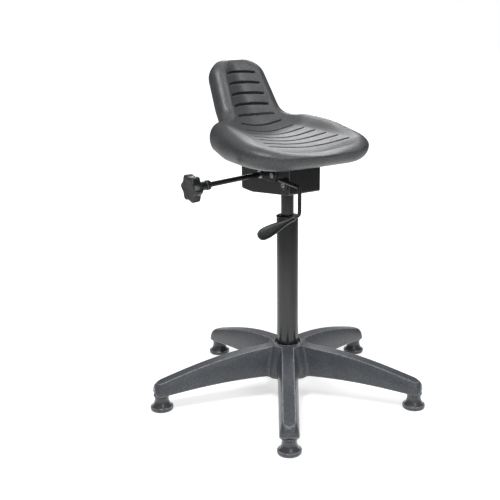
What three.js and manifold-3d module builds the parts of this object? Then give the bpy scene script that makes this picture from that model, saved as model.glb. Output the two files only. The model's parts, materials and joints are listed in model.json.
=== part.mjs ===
// Perch stool, millimetres, +Z up, origin on the floor under the middle of the base's outline.
// The seat faces -Y, the sitter's left is +X. The gas column stands at its lowest height.
// Pieces are drawn with the column's axis as Z, and one group then sets the base about the origin.
import * as THREE from 'three';
import { mergeVertices } from 'three/addons/utils/BufferGeometryUtils.js';
import Module from 'manifold-3d';

const wasm = await Module();
wasm.setup();

// Fit values that every piece shares
const gap = 0.3;              // clearance between pieces that touch
const overrun = 2;            // how far a cutting solid runs past the face it cuts
const deg = Math.PI / 180;

// Base: five legs round a hub
const legCount = 5;
const footCircle = 294;       // radius from the column axis to each foot
const hubTop = 124;
const hubHeight = 74;
const hubRadius = 42;
const hubRim = 4;             // chamfer round the hub
const hubFoot = 38;           // hub radius at its lower end
const legTipReach = 17;       // leg end beyond the foot's middle
const legRootDrop = 2;        // leg's top face below the hub's, carried in to the column axis
const legTipHeight = 65;
const legRootLift = 1;        // leg's underside above the hub's
const legTipUnderside = 36;
const legArchRise = 8;        // how far the underside arches between hub and foot
const legCrown = 12;          // how far the top bows up between hub and foot
const legTopWidth = 30;
const legBottomWidth = 43;
const legRootWidth = 50;
const legRootShare = 0.5;     // share of the leg over which its foot narrows
const legEdge = 3;            // bevel beside the top face
const legPocketWall = 5;
const legPocketRoof = 14;

// Glides
const padRadius = 25;
const padHeight = 22;
const padEdge = 2;
const padLip = 8;
const domeShare = 0.6;        // how far out the dome's shoulder lies between neck and pad
const neckRadius = 15.8;
const collarHeight = 5;
const stemRadius = 5.5;
const stemLength = 22;        // stem above the leg's underside
const stemDepth = 14;         // stem below the leg's underside, inside the glide

// Column
const tubeRadius = 24;
const tubeWall = 2;
const tubeBottom = 53;
const strokeHeight = 266.7;   // 23 in to 33.5 in
const tubeSpare = 96.3;       // tube length beyond the stroke
const tubeTop = tubeBottom + strokeHeight + tubeSpare;
const tubeFootRadius = 22.8;  // tube radius at the lower end of its taper
const tubeFloor = 3;
const sleeveWall = 3;
const sleeveDrop = 5;         // sleeve's upper end below the hub's top
const bushLength = 72;
const bushFlange = 3.5;
const bushFlangeLip = 1;      // flange radius beyond the tube
const cylinderRadius = 14;
const cylinderWall = 2;
const cylinderRise = 95;      // cylinder's top over the tube's at the lowest height
const cylinderTop = tubeTop + cylinderRise;
const cylinderTaper = 35;     // length of the taper that the socket holds
const cylinderTipRadius = 13.1;
const cylinderCap = 45;       // solid top that holds the valve
const rodRadius = 5;
const rodFootRadius = 4;
const pistonHeight = 14;
const guideHeight = 22;
const washerHeight = 2;
const washerRadius = 14;
const ballRadius = 2.6;
const ballCircle = 9.6;
const ballCount = 7;
const cageHeight = 2;
const bumpHeight = 12;
const bumpRadius = 12;
const clipHeight = 1.5;
const clipRadius = 9;
const pinRadius = 3.2;
const pinRise = 7;            // pin's top over the cylinder's
const pinDepth = 34;          // pin length inside the cylinder's cap

// Mechanism housing
const housingHalf = 41;
const housingWall = 2.8;
const housingFront = -62;
const housingRear = 116;
const housingRise = 22;       // heights over and under the cylinder's top
const housingFrontDrop = 34;
const housingRearDrop = 45.5;
const housingKnee = 75;       // where the lower edge turns up again
const housingKneeDrop = 48;
const housingCorner = 5;
const socketRadius = 19;
const socketDepth = 33;
const crossPlateDrop = 19;
const crossPlateThickness = 3;
const crossPlateLength = 48;

// Lever
const leverPivotY = -43.5;
const leverPivotDrop = 14.3;  // shaft below the cylinder's top
const leverShaftRadius = 5;
const leverShaftBore = 2.2;
const leverShaftReach = 3.3;  // shaft end beyond the near flange, level with the lever plate
const leverPlateThickness = 3;
const leverPlateRadius = 9;
const leverPlateRoundShare = 0.8;
const leverWire = 4;          // wire radius
const leverWireStart = -37;
const leverWireRise = 11;     // wire above the shaft
const leverKneeY = -107;
const leverKneeDrop = 5;      // how far the wire falls to its first bend
const leverDrop = 57;         // upright stretch of the wire
const leverBend = 7.5;
const tongueThickness = 3;
const tongueWidth = 12;
const tongueReach = 5;        // tongue end beyond the pin's middle
const tongueElbow = 17;       // where the tongue levels out before the pin
const paddleLength = 108;
const paddleFall = 32;        // tip below the root
const paddleWidth = 25;
const paddleRootWidth = 11;
const paddleThickness = 7;
const paddleThinShare = 0.625; // share of the paddle over which it thins
const paddleSocket = 34;      // how deep the wire sits in the paddle
const paddleTurn = 32;        // degrees that the paddle's face leans

// Clamp knob
const clampY = 38;
const clampRise = -2.5;       // screw over the cylinder's top, at the near flange
const clampDroop = 3.3;       // degrees that the screw falls towards the knob
const clampScrewRadius = 4;
const spacerRadius = 5.4;
const knobRadius = 30.5;
const knobLobeDepth = 5.9;
const knobLobes = 6;
const knobRest = 36;          // degrees from below to the first lobe
const knobLobePower = 1.4;    // above 1, the hollows between lobes are narrower than the lobes
const knobThickness = 20;
const knobEdge = 2.5;
const knobPlace = 206.5;      // from the screw's middle to the knob's inner face
const knobConeRadius = 13;    // flare where the hub leaves the star
const knobConeLength = 6;
const knobHubRadius = 9.5;
const knobHubLength = 22;
const collarLength = 11;
const knobCollarRadius = 10.6;
const nutRadius = 7.5;
const nutHeight = 6.5;
const clampWasherRadius = 9;
const clampWasherHeight = 1.6;
const screwClearance = 0.8;   // room round the drooping screw in the ears and slots

// Seat plate and its pivot
const seatPitch = 5.7;        // degrees that the seat leans forwards at rest
const pivotY = -9;
const pivotRise = 2;          // pivot over the cylinder's top
const tiltBack = 5.7;         // degrees of tilt back to level
const tiltForward = 4.3;      // degrees of tilt further forwards
const plateThickness = 3;
const plateHalf = 72;
const plateFront = -78;
const plateRear = 88;
const plateCorner = 14;
const earThickness = 2.8;
const earFront = -24;
const earDrop = 16;           // lower edge of the ear below the pivot, at its front
const earCorner = 4;
const earClampRadius = 8;     // round end of the ear, about the clamp screw
const earRoundShare = 0.9;
const earFlare = 6;
const tiltBoltRadius = 4;
const tiltHeadRadius = 6.5;
const tiltHeadHeight = 4.5;
const tiltNutRadius = 7;
const tiltNutHeight = 4.5;
const bushWall = 1.6;
const seatBoltRadius = 3;
const seatBoltHead = 6;
const seatBoltHeadHeight = 4;
const seatBoltLength = 12;
const seatBoltX = 58;
const seatBoltFront = -48;
const seatBoltRear = 54;

// Seat: a moulded shell laid along a profile that runs back over the seat and up the back
const seatRise = 83.5;        // profile over the pivot, on the column axis
const seatFront = -139;
const seatHalf = 167;
const seatFrontRadius = 88;
const seatFrontSweep = 5;     // how far the front edge falls back at its ends
const sideHalf = 159;          // the sides bulge between the front and rear corners
const sideMiddle = 18;
const sideRadius = 150;
const rearCornerHalf = 132;
const rearCorner = 110;
const rearCornerRadius = 40.5;
const backRootHalf = 82;
const backRootRadius = 32.8;
const backRoot = 118;
const backHalf = 65.5;
const backTop = 266;
const backTopRadius = 46;
const bendStart = 54;
const bendRadius = 110;
const backPitch = 59;         // degrees of the back's face above level
const bendFadeStart = 80;     // the bend dies out beside the back, from here
const bendFadeEnd = 124;
const seatDish = 9.5;
const backDish = 12.5;
const backDishStart = 100;
const backDishEnd = 160;
const rimLift = 10;           // extra height of the rim beside the seat's rear half
const frontFall = 12;         // how far the front edge falls below the profile
const frontFallStart = -80;
const rimWidth = 26;
const equatorDepth = 15;
const backEquatorDepth = 16;
const seatDepth = 46.5;       // underside below the profile
const backDepth = 42;
const depthFadeStart = 74;
const depthFadeEnd = 170;
const frontInset = 33;
const undersideInset = 18;
const backInset = 9;
const grooveWidth = 5.5;
const grooveDepth = 4;
const grooveFloorShare = 0.7;
const grooveEndShare = 0.5;   // width and depth at a channel's ends
const seatGrooveCount = 7;
const seatGrooveStart = -80;
const seatGroovePitch = 29.2;
const backGrooveCount = 5;
const backGrooveStart = 120;
const backGroovePitch = 26.5;
const backGrooveBow = 9;
const frontGrooveHalf = 105;  // half length of the first channel
const rootGrooveHalf = 49;    // and of the first one in the back
const topGrooveHalf = 38;     // and of the last one
const boardHalf = 80;
const boardFront = -88;
const boardRear = 74;
const boardThickness = 9;
const boardCorner = 16;
const stripHalf = 22;
const stripThickness = 3;
const stripStart = 14;
const stripEnd = 225;
const stripCover = 25;        // foam in front of the strip in the back

// Counts of sides and steps
const hexSides = 6;
const ballSides = 6;
const ballRings = 4;
const cornerSteps = 4;
const fewSteps = 3;
const paddleSides = 12;
const lobeSteps = 6;
const roundSides = 20;
const smallSides = 12;
const wireSides = 8;

// Heights of the mechanism, all carried by the column
const hubBottom = hubTop - hubHeight;
const sleeveTop = hubTop - sleeveDrop;
const legRootHeight = hubTop - legRootDrop;
const legRootUnderside = hubBottom + legRootLift;
const cylinderShoulder = cylinderTop - cylinderTaper;
const pinTop = cylinderTop + pinRise;
const housingTop = cylinderTop + housingRise;
const housingFrontUnderside = cylinderTop - housingFrontDrop;
const housingRearUnderside = cylinderTop - housingRearDrop;
const housingKneeUnderside = cylinderTop - housingKneeDrop;
const crossPlateBottom = cylinderTop - crossPlateDrop;
const leverPivotZ = cylinderTop - leverPivotDrop;
const clampZ = cylinderTop + clampRise;
const pivotZ = cylinderTop + pivotRise;
const earUnderside = pivotZ - earDrop;
const seatHeight = pivotZ + seatRise;

// Materials
const finish = (color, roughness, metalness) =>
  new THREE.MeshStandardMaterial({ color, roughness, metalness });
const looks = {
  foam: () => finish(0x3a3b3c, 0.55, 0),
  nylon: () => finish(0x35373a, 0.6, 0),
  glide: () => finish(0x2f3134, 0.5, 0),
  tube: () => finish(0x232427, 0.38, 0.4),
  plastic: () => finish(0x1c1d1f, 0.45, 0),
  pressed: () => finish(0x1d1e20, 0.45, 0.4),
  steel: () => finish(0x9a9c9f, 0.35, 0.9),
  rubber: () => finish(0x151515, 0.85, 0),
  board: () => finish(0xb08a5a, 0.7, 0),
};

// Solids and booleans
function toSolid(geometry) {
  const bare = geometry.clone();
  bare.deleteAttribute('normal');
  bare.deleteAttribute('uv');
  const merged = mergeVertices(bare);
  const mesh = new wasm.Mesh({
    numProp: 3,
    vertProperties: new Float32Array(merged.attributes.position.array),
    triVerts: new Uint32Array(merged.index.array),
  });
  return new wasm.Manifold(mesh);
}

function toGeometry(solid) {
  const mesh = solid.getMesh();
  const geometry = new THREE.BufferGeometry();
  geometry.setAttribute('position', new THREE.BufferAttribute(new Float32Array(mesh.vertProperties), 3));
  geometry.setIndex(new THREE.BufferAttribute(new Uint32Array(mesh.triVerts), 1));
  geometry.computeVertexNormals();
  return geometry;
}

function join(...geometries) {
  return toGeometry(geometries.map(toSolid).reduce((a, b) => a.add(b)));
}

function cut(body, ...tools) {
  return toGeometry(tools.map(toSolid).reduce((a, b) => a.subtract(b), toSolid(body)));
}

// A solid of revolution about Z from [radius, height] pairs
function turned(profile, sides = roundSides) {
  const points = [...profile, profile[0]].map(([r, z]) => new THREE.Vector2(r, z));
  const geometry = new THREE.LatheGeometry(points, sides);
  geometry.rotateX(Math.PI / 2);
  return geometry;
}

function rod(radius, from, to, sides = smallSides) {
  return turned([[0, from], [radius, from], [radius, to], [0, to]], sides);
}

function ring(inner, outer, from, to, sides = roundSides) {
  return turned([[inner, from], [outer, from], [outer, to], [inner, to]], sides);
}

function hexNut(radius, bore, from, to) {
  return cut(rod(radius, from, to, hexSides), rod(bore, from - overrun, to + overrun));
}

// A solid rod along X, centred on a point in the YZ plane
function crossRod(radius, from, to, y, z, sides = smallSides) {
  return rod(radius, from, to, sides).rotateY(Math.PI / 2).translate(0, y, z);
}

function crossRing(inner, outer, from, to, y, z, sides = roundSides) {
  return ring(inner, outer, from, to, sides).rotateY(Math.PI / 2).translate(0, y, z);
}

function block(x0, x1, y0, y1, z0, z1) {
  const geometry = new THREE.BoxGeometry(x1 - x0, y1 - y0, z1 - z0);
  return geometry.translate((x0 + x1) / 2, (y0 + y1) / 2, (z0 + z1) / 2);
}

// A closed outline with rounded corners, each corner given as [x, y, radius]
function roundedOutline(corners, Kind = THREE.Shape) {
  const path = new Kind();
  corners.forEach(([x, y, radius], i) => {
    const here = new THREE.Vector2(x, y);
    const [px, py] = corners[(i + corners.length - 1) % corners.length];
    const [nx, ny] = corners[(i + 1) % corners.length];
    const back = new THREE.Vector2(px, py).sub(here).normalize();
    const ahead = new THREE.Vector2(nx, ny).sub(here).normalize();
    const half = Math.acos(back.dot(ahead)) / 2;
    const reach = radius / Math.tan(half);
    const start = here.clone().addScaledVector(back, reach);
    const end = here.clone().addScaledVector(ahead, reach);
    if (i === 0) path.moveTo(start.x, start.y);
    else path.lineTo(start.x, start.y);
    if (radius > 0) {
      const middle = back.clone().add(ahead).normalize().multiplyScalar(radius / Math.sin(half)).add(here);
      const from = start.clone().sub(middle).angle();
      const to = end.clone().sub(middle).angle();
      const turnsLeft = back.cross(ahead) < 0;
      path.absarc(middle.x, middle.y, radius, from, to, !turnsLeft);
    }
  });
  return path;
}

// A plate lying in XY from its outline, standing between two heights
function flatPlate(corners, from, to, curveSegments = cornerSteps) {
  const shape = roundedOutline(corners);
  const geometry = new THREE.ExtrudeGeometry(shape, { depth: to - from, bevelEnabled: false, curveSegments });
  return geometry.translate(0, 0, from);
}

// Stands a drawing of Y and Z values up across X
const yzPlane = new THREE.Matrix4().makeBasis(
  new THREE.Vector3(0, 1, 0), new THREE.Vector3(0, 0, 1), new THREE.Vector3(1, 0, 0));

// A plate standing across X, its corners given as [y, z, radius]
function sidePlate(corners, from, to, curveSegments = cornerSteps) {
  return flatPlate(corners, from, to, curveSegments).applyMatrix4(yzPlane);
}

// A skin over closed loops of points, closed by a fan at each end
function loft(loops) {
  const count = loops[0].length;
  const points = loops.flat();
  const faces = [];
  for (let k = 0; k + 1 < loops.length; k += 1) {
    for (let i = 0; i < count; i += 1) {
      const j = (i + 1) % count;
      const a = k * count + i;
      const b = k * count + j;
      faces.push(a, b, b + count, a, b + count, a + count);
    }
  }
  const middle = (loop) => loop.reduce((sum, p) => sum.add(p), new THREE.Vector3()).divideScalar(count);
  const first = points.length;
  points.push(middle(loops[0]), middle(loops[loops.length - 1]));
  const last = (loops.length - 1) * count;
  for (let i = 0; i < count; i += 1) {
    const j = (i + 1) % count;
    faces.push(first, j, i, first + 1, last + i, last + j);
  }
  return fromPoints(points, faces);
}

function fromPoints(points, faces) {
  const geometry = new THREE.BufferGeometry();
  geometry.setAttribute('position', new THREE.Float32BufferAttribute(points.flatMap((p) => p.toArray()), 3));
  geometry.setIndex(faces);
  geometry.computeVertexNormals();
  return geometry;
}

// A wire along a route of points, its corners rounded to a bend radius
function bentRoute(corners, bend, bendSteps = cornerSteps) {
  const route = [corners[0]];
  for (let i = 1; i + 1 < corners.length; i += 1) {
    const back = corners[i - 1].clone().sub(corners[i]).normalize();
    const ahead = corners[i + 1].clone().sub(corners[i]).normalize();
    const half = back.angleTo(ahead) / 2;
    const reach = bend / Math.tan(half);
    const middle = back.clone().add(ahead).normalize().multiplyScalar(bend / Math.sin(half)).add(corners[i]);
    const start = corners[i].clone().addScaledVector(back, reach).sub(middle);
    const end = corners[i].clone().addScaledVector(ahead, reach).sub(middle);
    const axis = start.clone().cross(end).normalize();
    const sweep = Math.PI - 2 * half;
    for (let k = 0; k <= bendSteps; k += 1) {
      route.push(start.clone().applyAxisAngle(axis, (sweep * k) / bendSteps).add(middle));
    }
  }
  route.push(corners[corners.length - 1]);
  return route;
}

function wire(route, radius, sides = wireSides) {
  let normal = new THREE.Vector3(1, 0, 0);
  const loops = route.map((point, i) => {
    const before = route[Math.max(i - 1, 0)];
    const after = route[Math.min(i + 1, route.length - 1)];
    const tangent = after.clone().sub(before).normalize();
    normal = normal.clone().addScaledVector(tangent, -normal.dot(tangent)).normalize();
    const side = tangent.clone().cross(normal);
    return Array.from({ length: sides }, (_, k) => {
      const angle = (2 * Math.PI * k) / sides;
      return point.clone()
        .addScaledVector(normal, radius * Math.cos(angle))
        .addScaledVector(side, radius * Math.sin(angle));
    });
  });
  return loft(loops);
}

// The stool and its pieces. A base of an odd number of legs reaches further behind the column than
// in front of it, so the group that holds the pieces is set back by half of that difference.
const stool = new THREE.Group();
const columnGroup = new THREE.Group();
columnGroup.position.y = -(footCircle - footCircle * Math.cos(Math.PI / legCount)) / 2;
stool.add(columnGroup);

function piece(name, geometry, look, parent = columnGroup) {
  const mesh = new THREE.Mesh(geometry, looks[look]());
  mesh.name = name;
  parent.add(mesh);
  return mesh;
}

// Shape values between two ends
const blend = (a, b, share) => a + (b - a) * share;
const smooth = (x) => x * x * (3 - 2 * x);
const fade = (x, from, to) => smooth(Math.min(Math.max((x - from) / (to - from), 0), 1));

// Base leg along +X, later turned to its own angle
function legSection(r, shareOut) {
  const rise = Math.sin(Math.PI * shareOut);
  const top = blend(legRootHeight, legTipHeight, shareOut) + legCrown * rise;
  const bottom = blend(legRootUnderside, legTipUnderside, shareOut) + legArchRise * rise;
  const halfTop = legTopWidth / 2;
  const halfBottom = blend(legRootWidth, legBottomWidth, Math.min(1, shareOut / legRootShare)) / 2;
  return { r, top, bottom, halfTop, halfBottom };
}

function legLoop({ r, top, bottom, halfTop, halfBottom }, lean = 0) {
  const shoulder = top - legEdge;
  const outline = [
    [-halfBottom, bottom], [halfBottom, bottom], [halfTop + legEdge, shoulder], [halfTop, top],
    [-halfTop, top], [-halfTop - legEdge, shoulder],
  ];
  return outline.map(([y, z]) => new THREE.Vector3(r - lean * (z - bottom), y, z));
}

function leg() {
  const steps = 8;
  const loops = [];
  for (let k = 0; k <= steps; k += 1) {
    loops.push(legLoop(legSection(blend(0, footCircle, k / steps), k / steps)));
  }
  const tip = legSection(footCircle, 1);
  const tipSteps = 3;
  for (let k = 1; k <= tipSteps; k += 1) {
    const turn = (Math.PI / 2) * (k / (tipSteps + 1));
    const shrink = Math.cos(turn);
    loops.push(legLoop({
      ...tip,
      r: footCircle + legTipReach * Math.sin(turn),
      top: tip.top - legEdge * (1 - shrink),
      halfTop: (tip.halfTop) * shrink,
      halfBottom: tip.halfBottom * Math.sqrt(shrink),
    }, (k / tipSteps) * legEdge / legTipReach));
  }
  return loft(loops);
}

function legPocket() {
  const steps = 4;
  const start = hubRadius + legPocketWall;
  const end = footCircle - neckRadius - 2 * legPocketWall;
  const loops = [];
  for (let k = 0; k <= steps; k += 1) {
    const r = blend(start, end, k / steps);
    const section = legSection(r, r / footCircle);
    const roof = Math.max(section.top - legPocketRoof, section.bottom + legPocketWall);
    const foot = section.halfBottom - legPocketWall;
    const head = Math.min(foot, section.halfTop + legEdge - legPocketWall);
    const mouth = section.bottom - legArchRise;
    loops.push([
      [-foot, mouth], [foot, mouth], [head, roof], [-head, roof],
    ].map(([y, z]) => new THREE.Vector3(r, y, z)));
  }
  return loft(loops);
}

// Tube and sleeve share one taper
const taperSlope = (tubeRadius - tubeFootRadius) / (hubTop - tubeBottom);
const taperRadius = (z) => tubeRadius - taperSlope * Math.max(hubTop - z, 0);
const legTurn = (2 * Math.PI) / legCount;
const legAngles = Array.from({ length: legCount }, (_, i) => legTurn * i + legTurn / 2 - Math.PI / 2);

function makeBase() {
  const hub = turned([
    [0, hubBottom], [hubFoot, hubBottom], [hubRadius, hubBottom + hubRadius - hubFoot],
    [hubRadius, hubTop - hubRim], [hubRadius - hubRim, hubTop], [0, hubTop],
  ]);
  const legs = legAngles.map((angle) => leg().rotateZ(angle));
  const pockets = legAngles.map((angle) => legPocket().rotateZ(angle));
  const stems = legAngles.map((angle) => stemHole().rotateZ(angle));
  const lower = taperRadius(hubBottom) + sleeveWall + 2 * gap;
  const upper = taperRadius(sleeveTop) + sleeveWall + 2 * gap;
  const bore = turned([
    [0, hubBottom - overrun], [lower, hubBottom - overrun], [upper, sleeveTop],
    [upper + hubRim, hubTop + overrun], [0, hubTop + overrun],
  ]);
  piece('five_star_base', cut(join(hub, ...legs), bore, ...pockets, ...stems), 'nylon');

  const inner = (z) => taperRadius(z) + gap;
  const outer = (z) => inner(z) + sleeveWall;
  piece('hub_sleeve', turned([
    [inner(hubBottom), hubBottom], [outer(hubBottom), hubBottom],
    [outer(sleeveTop), sleeveTop], [inner(sleeveTop), sleeveTop],
  ]), 'pressed');
}

function stemHole() {
  return rod(stemRadius + gap, legTipUnderside - overrun, legTipUnderside + stemLength + gap)
    .translate(footCircle, 0, 0);
}

function makeGlides() {
  const neckTop = legTipUnderside - gap;
  const lipTop = padLip;
  const domeTop = padHeight - collarHeight / 2;
  const profile = [
    [0, 0], [padRadius - padEdge, 0], [padRadius, padEdge], [padRadius, lipTop],
    [padRadius - padEdge, lipTop + padEdge], [blend(neckRadius, padRadius, domeShare), domeTop - padEdge],
    [neckRadius, domeTop + padEdge], [neckRadius, neckTop - collarHeight],
    [neckRadius + padEdge, neckTop - collarHeight + padEdge], [neckRadius + padEdge, neckTop], [0, neckTop],
  ];
  const socket = rod(stemRadius + gap, legTipUnderside - stemDepth - gap, legTipUnderside + overrun);
  legAngles.forEach((angle, i) => {
    const x = footCircle * Math.cos(angle);
    const y = footCircle * Math.sin(angle);
    piece(`glide_${i + 1}`, cut(turned(profile), socket), 'glide').position.set(x, y, 0);
    const stem = rod(stemRadius, legTipUnderside - stemDepth, legTipUnderside + stemLength, smallSides);
    piece(`glide_stem_${i + 1}`, stem, 'steel').position.set(x, y, 0);
  });
}

// Heights in the thrust bearing, from the tube's floor upwards
const lowerWasherZ = tubeBottom + tubeFloor + gap;
const cageZ = lowerWasherZ + washerHeight + ballRadius + gap;
const upperWasherZ = cageZ + ballRadius + gap;
const bumpZ = upperWasherZ + washerHeight + gap;
const cylinderBottom = bumpZ + bumpHeight + gap;
const tubeInner = tubeRadius - tubeWall;
const cylinderInner = cylinderRadius - cylinderWall;
const rodFootEnd = tubeBottom - gap - clipHeight - gap;
const guideBottom = cylinderBottom + cylinderWall;
const pistonBottom = cylinderBottom + strokeHeight + guideHeight + 2 * cylinderWall + rodRadius;
const pistonTop = pistonBottom + pistonHeight;

function makeColumn() {
  const footRadius = taperRadius(tubeBottom);
  piece('outer_column_tube', turned([
    [rodFootRadius + gap, tubeBottom], [footRadius, tubeBottom], [tubeRadius, hubTop], [tubeRadius, tubeTop],
    [tubeInner, tubeTop], [tubeInner, hubTop], [footRadius - tubeWall, tubeBottom + tubeFloor],
    [rodFootRadius + gap, tubeBottom + tubeFloor],
  ]), 'tube');
  const bushOuter = tubeInner - gap;
  const bushInner = cylinderRadius + gap;
  const flangeBottom = tubeTop + gap;
  const flangeTop = flangeBottom + bushFlange;
  piece('guide_bush', turned([
    [bushInner, tubeTop - bushLength], [bushOuter, tubeTop - bushLength], [bushOuter, flangeBottom],
    [tubeRadius + bushFlangeLip, flangeBottom], [tubeRadius + bushFlangeLip, flangeBottom + bushFlangeLip],
    [tubeRadius - bushFlange, flangeTop], [bushInner, flangeTop],
  ]), 'plastic');

  const washerInner = rodFootRadius + gap;
  piece('bearing_washer_lower',
    ring(washerInner, washerRadius, lowerWasherZ, lowerWasherZ + washerHeight), 'steel');
  piece('bearing_washer_upper',
    ring(washerInner, washerRadius, upperWasherZ, upperWasherZ + washerHeight), 'steel');
  const cage = ring(ballCircle - ballRadius - cageHeight, ballCircle + ballRadius + cageHeight / 2,
    cageZ - cageHeight / 2, cageZ + cageHeight / 2, smallSides);
  const balls = Array.from({ length: ballCount }, (_, i) => {
    const angle = (2 * Math.PI * i) / ballCount;
    return new THREE.SphereGeometry(ballRadius, ballSides, ballRings)
      .translate(ballCircle * Math.cos(angle), ballCircle * Math.sin(angle), cageZ);
  });
  piece('thrust_ball_cage', join(cage, ...balls), 'steel');
  piece('bump_stop', ring(rodRadius + gap, bumpRadius, bumpZ, bumpZ + bumpHeight, smallSides), 'rubber');

  piece('piston_rod', turned([
    [0, rodFootEnd], [rodFootRadius, rodFootEnd], [rodFootRadius, bumpZ], [rodRadius, bumpZ],
    [rodRadius, pistonBottom - gap], [rodFootRadius, pistonBottom - gap], [rodFootRadius, pistonTop + gap],
    [rodRadius + gap, pistonTop + gap], [rodRadius + gap, pistonTop + rodRadius], [0, pistonTop + rodRadius],
  ], smallSides), 'steel');
  piece('piston', ring(rodFootRadius + gap, cylinderInner - gap, pistonBottom, pistonTop), 'plastic');
  const clipTop = tubeBottom - gap;
  piece('retaining_clip',
    ring(rodFootRadius + gap, clipRadius, clipTop - clipHeight, clipTop, smallSides), 'steel');

  piece('pressure_cylinder', turned([
    [cylinderInner, cylinderBottom], [cylinderRadius, cylinderBottom], [cylinderRadius, cylinderShoulder],
    [cylinderTipRadius, cylinderTop], [pinRadius + gap, cylinderTop],
    [pinRadius + gap, cylinderTop - cylinderCap], [cylinderInner, cylinderTop - cylinderCap],
  ]), 'tube');
  piece('cylinder_guide_seal',
    ring(rodRadius + gap, cylinderInner - gap, guideBottom, guideBottom + guideHeight), 'rubber');
  piece('release_pin', rod(pinRadius, cylinderTop - pinDepth, pinTop), 'steel');
}

// Where each flange of the housing and each ear of the seat plate stands
const flangeInner = housingHalf - housingWall;
const earInner = housingHalf + gap;
const earOuter = earInner + earThickness;

// The clamp screw is carried by the ears, so it travels along an arc in each flange
const screwSlope = Math.tan(clampDroop * deg);
const screwHeight = (x) => clampZ + (x + housingHalf) * screwSlope;

function clampSlot(side) {
  const y = clampY - pivotY;
  const z = screwHeight(side * housingHalf) - pivotZ;
  const arc = Math.hypot(y, z);
  const start = Math.atan2(z, y) - tiltBack * deg;
  const end = Math.atan2(z, y) + tiltForward * deg;
  const half = clampScrewRadius + screwClearance;
  const low = new THREE.Vector2(arc * Math.cos(start), arc * Math.sin(start));
  const high = new THREE.Vector2(arc * Math.cos(end), arc * Math.sin(end));
  const shape = new THREE.Shape();
  shape.absarc(0, 0, arc + half, start, end, false);
  shape.absarc(high.x, high.y, half, end, end + Math.PI, false);
  shape.absarc(0, 0, arc - half, end, start, true);
  shape.absarc(low.x, low.y, half, start + Math.PI, start + 2 * Math.PI, false);
  const depth = housingWall + 2 * overrun;
  const options = { depth, bevelEnabled: false, curveSegments: cornerSteps };
  const geometry = new THREE.ExtrudeGeometry(shape, options);
  const middle = side * (housingHalf - housingWall / 2);
  return geometry.applyMatrix4(yzPlane).translate(middle - depth / 2, pivotY, pivotZ);
}

function makeHousing() {
  const outer = [
    [housingFront, housingTop, housingCorner], [housingFront, housingFrontUnderside, housingCorner],
    [housingKnee, housingKneeUnderside, 0], [housingRear, housingRearUnderside, housingCorner],
    [housingRear, housingTop, housingCorner],
  ];
  const body = sidePlate(outer, -housingHalf, housingHalf, fewSteps);
  const hollow = block(-flangeInner, flangeInner, housingFront + housingWall, housingRear - housingWall,
    housingKneeUnderside - overrun, housingTop - housingWall);
  const reach = housingHalf + overrun;
  const leverHole = crossRod(leverShaftRadius + gap, -reach, reach, leverPivotY, leverPivotZ);
  const pivotHole = crossRod(tiltBoltRadius + bushWall + 2 * gap, -reach, reach, pivotY, pivotZ);
  const slots = [-1, 1].map((side) => clampSlot(side));
  piece('mechanism_housing', cut(body, hollow, leverHole, pivotHole, ...slots), 'pressed');

  const socketTop = cylinderTop - gap;
  const taper = (z) => blend(cylinderRadius, cylinderTipRadius,
    (z - cylinderShoulder) / (cylinderTop - cylinderShoulder)) + gap;
  const socketBottom = cylinderTop - socketDepth;
  piece('taper_socket', turned([
    [taper(socketBottom), socketBottom], [socketRadius, socketBottom], [socketRadius, socketTop],
    [taper(socketTop), socketTop],
  ]), 'pressed');
  const crossPlateTop = crossPlateBottom + crossPlateThickness;
  const plate = block(gap - flangeInner, flangeInner - gap, -crossPlateLength / 2, crossPlateLength / 2,
    crossPlateBottom, crossPlateTop);
  const hole = rod(socketRadius + gap, crossPlateBottom - overrun, crossPlateTop + overrun, roundSides);
  piece('socket_cross_plate', cut(plate, hole), 'pressed');
}

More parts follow.
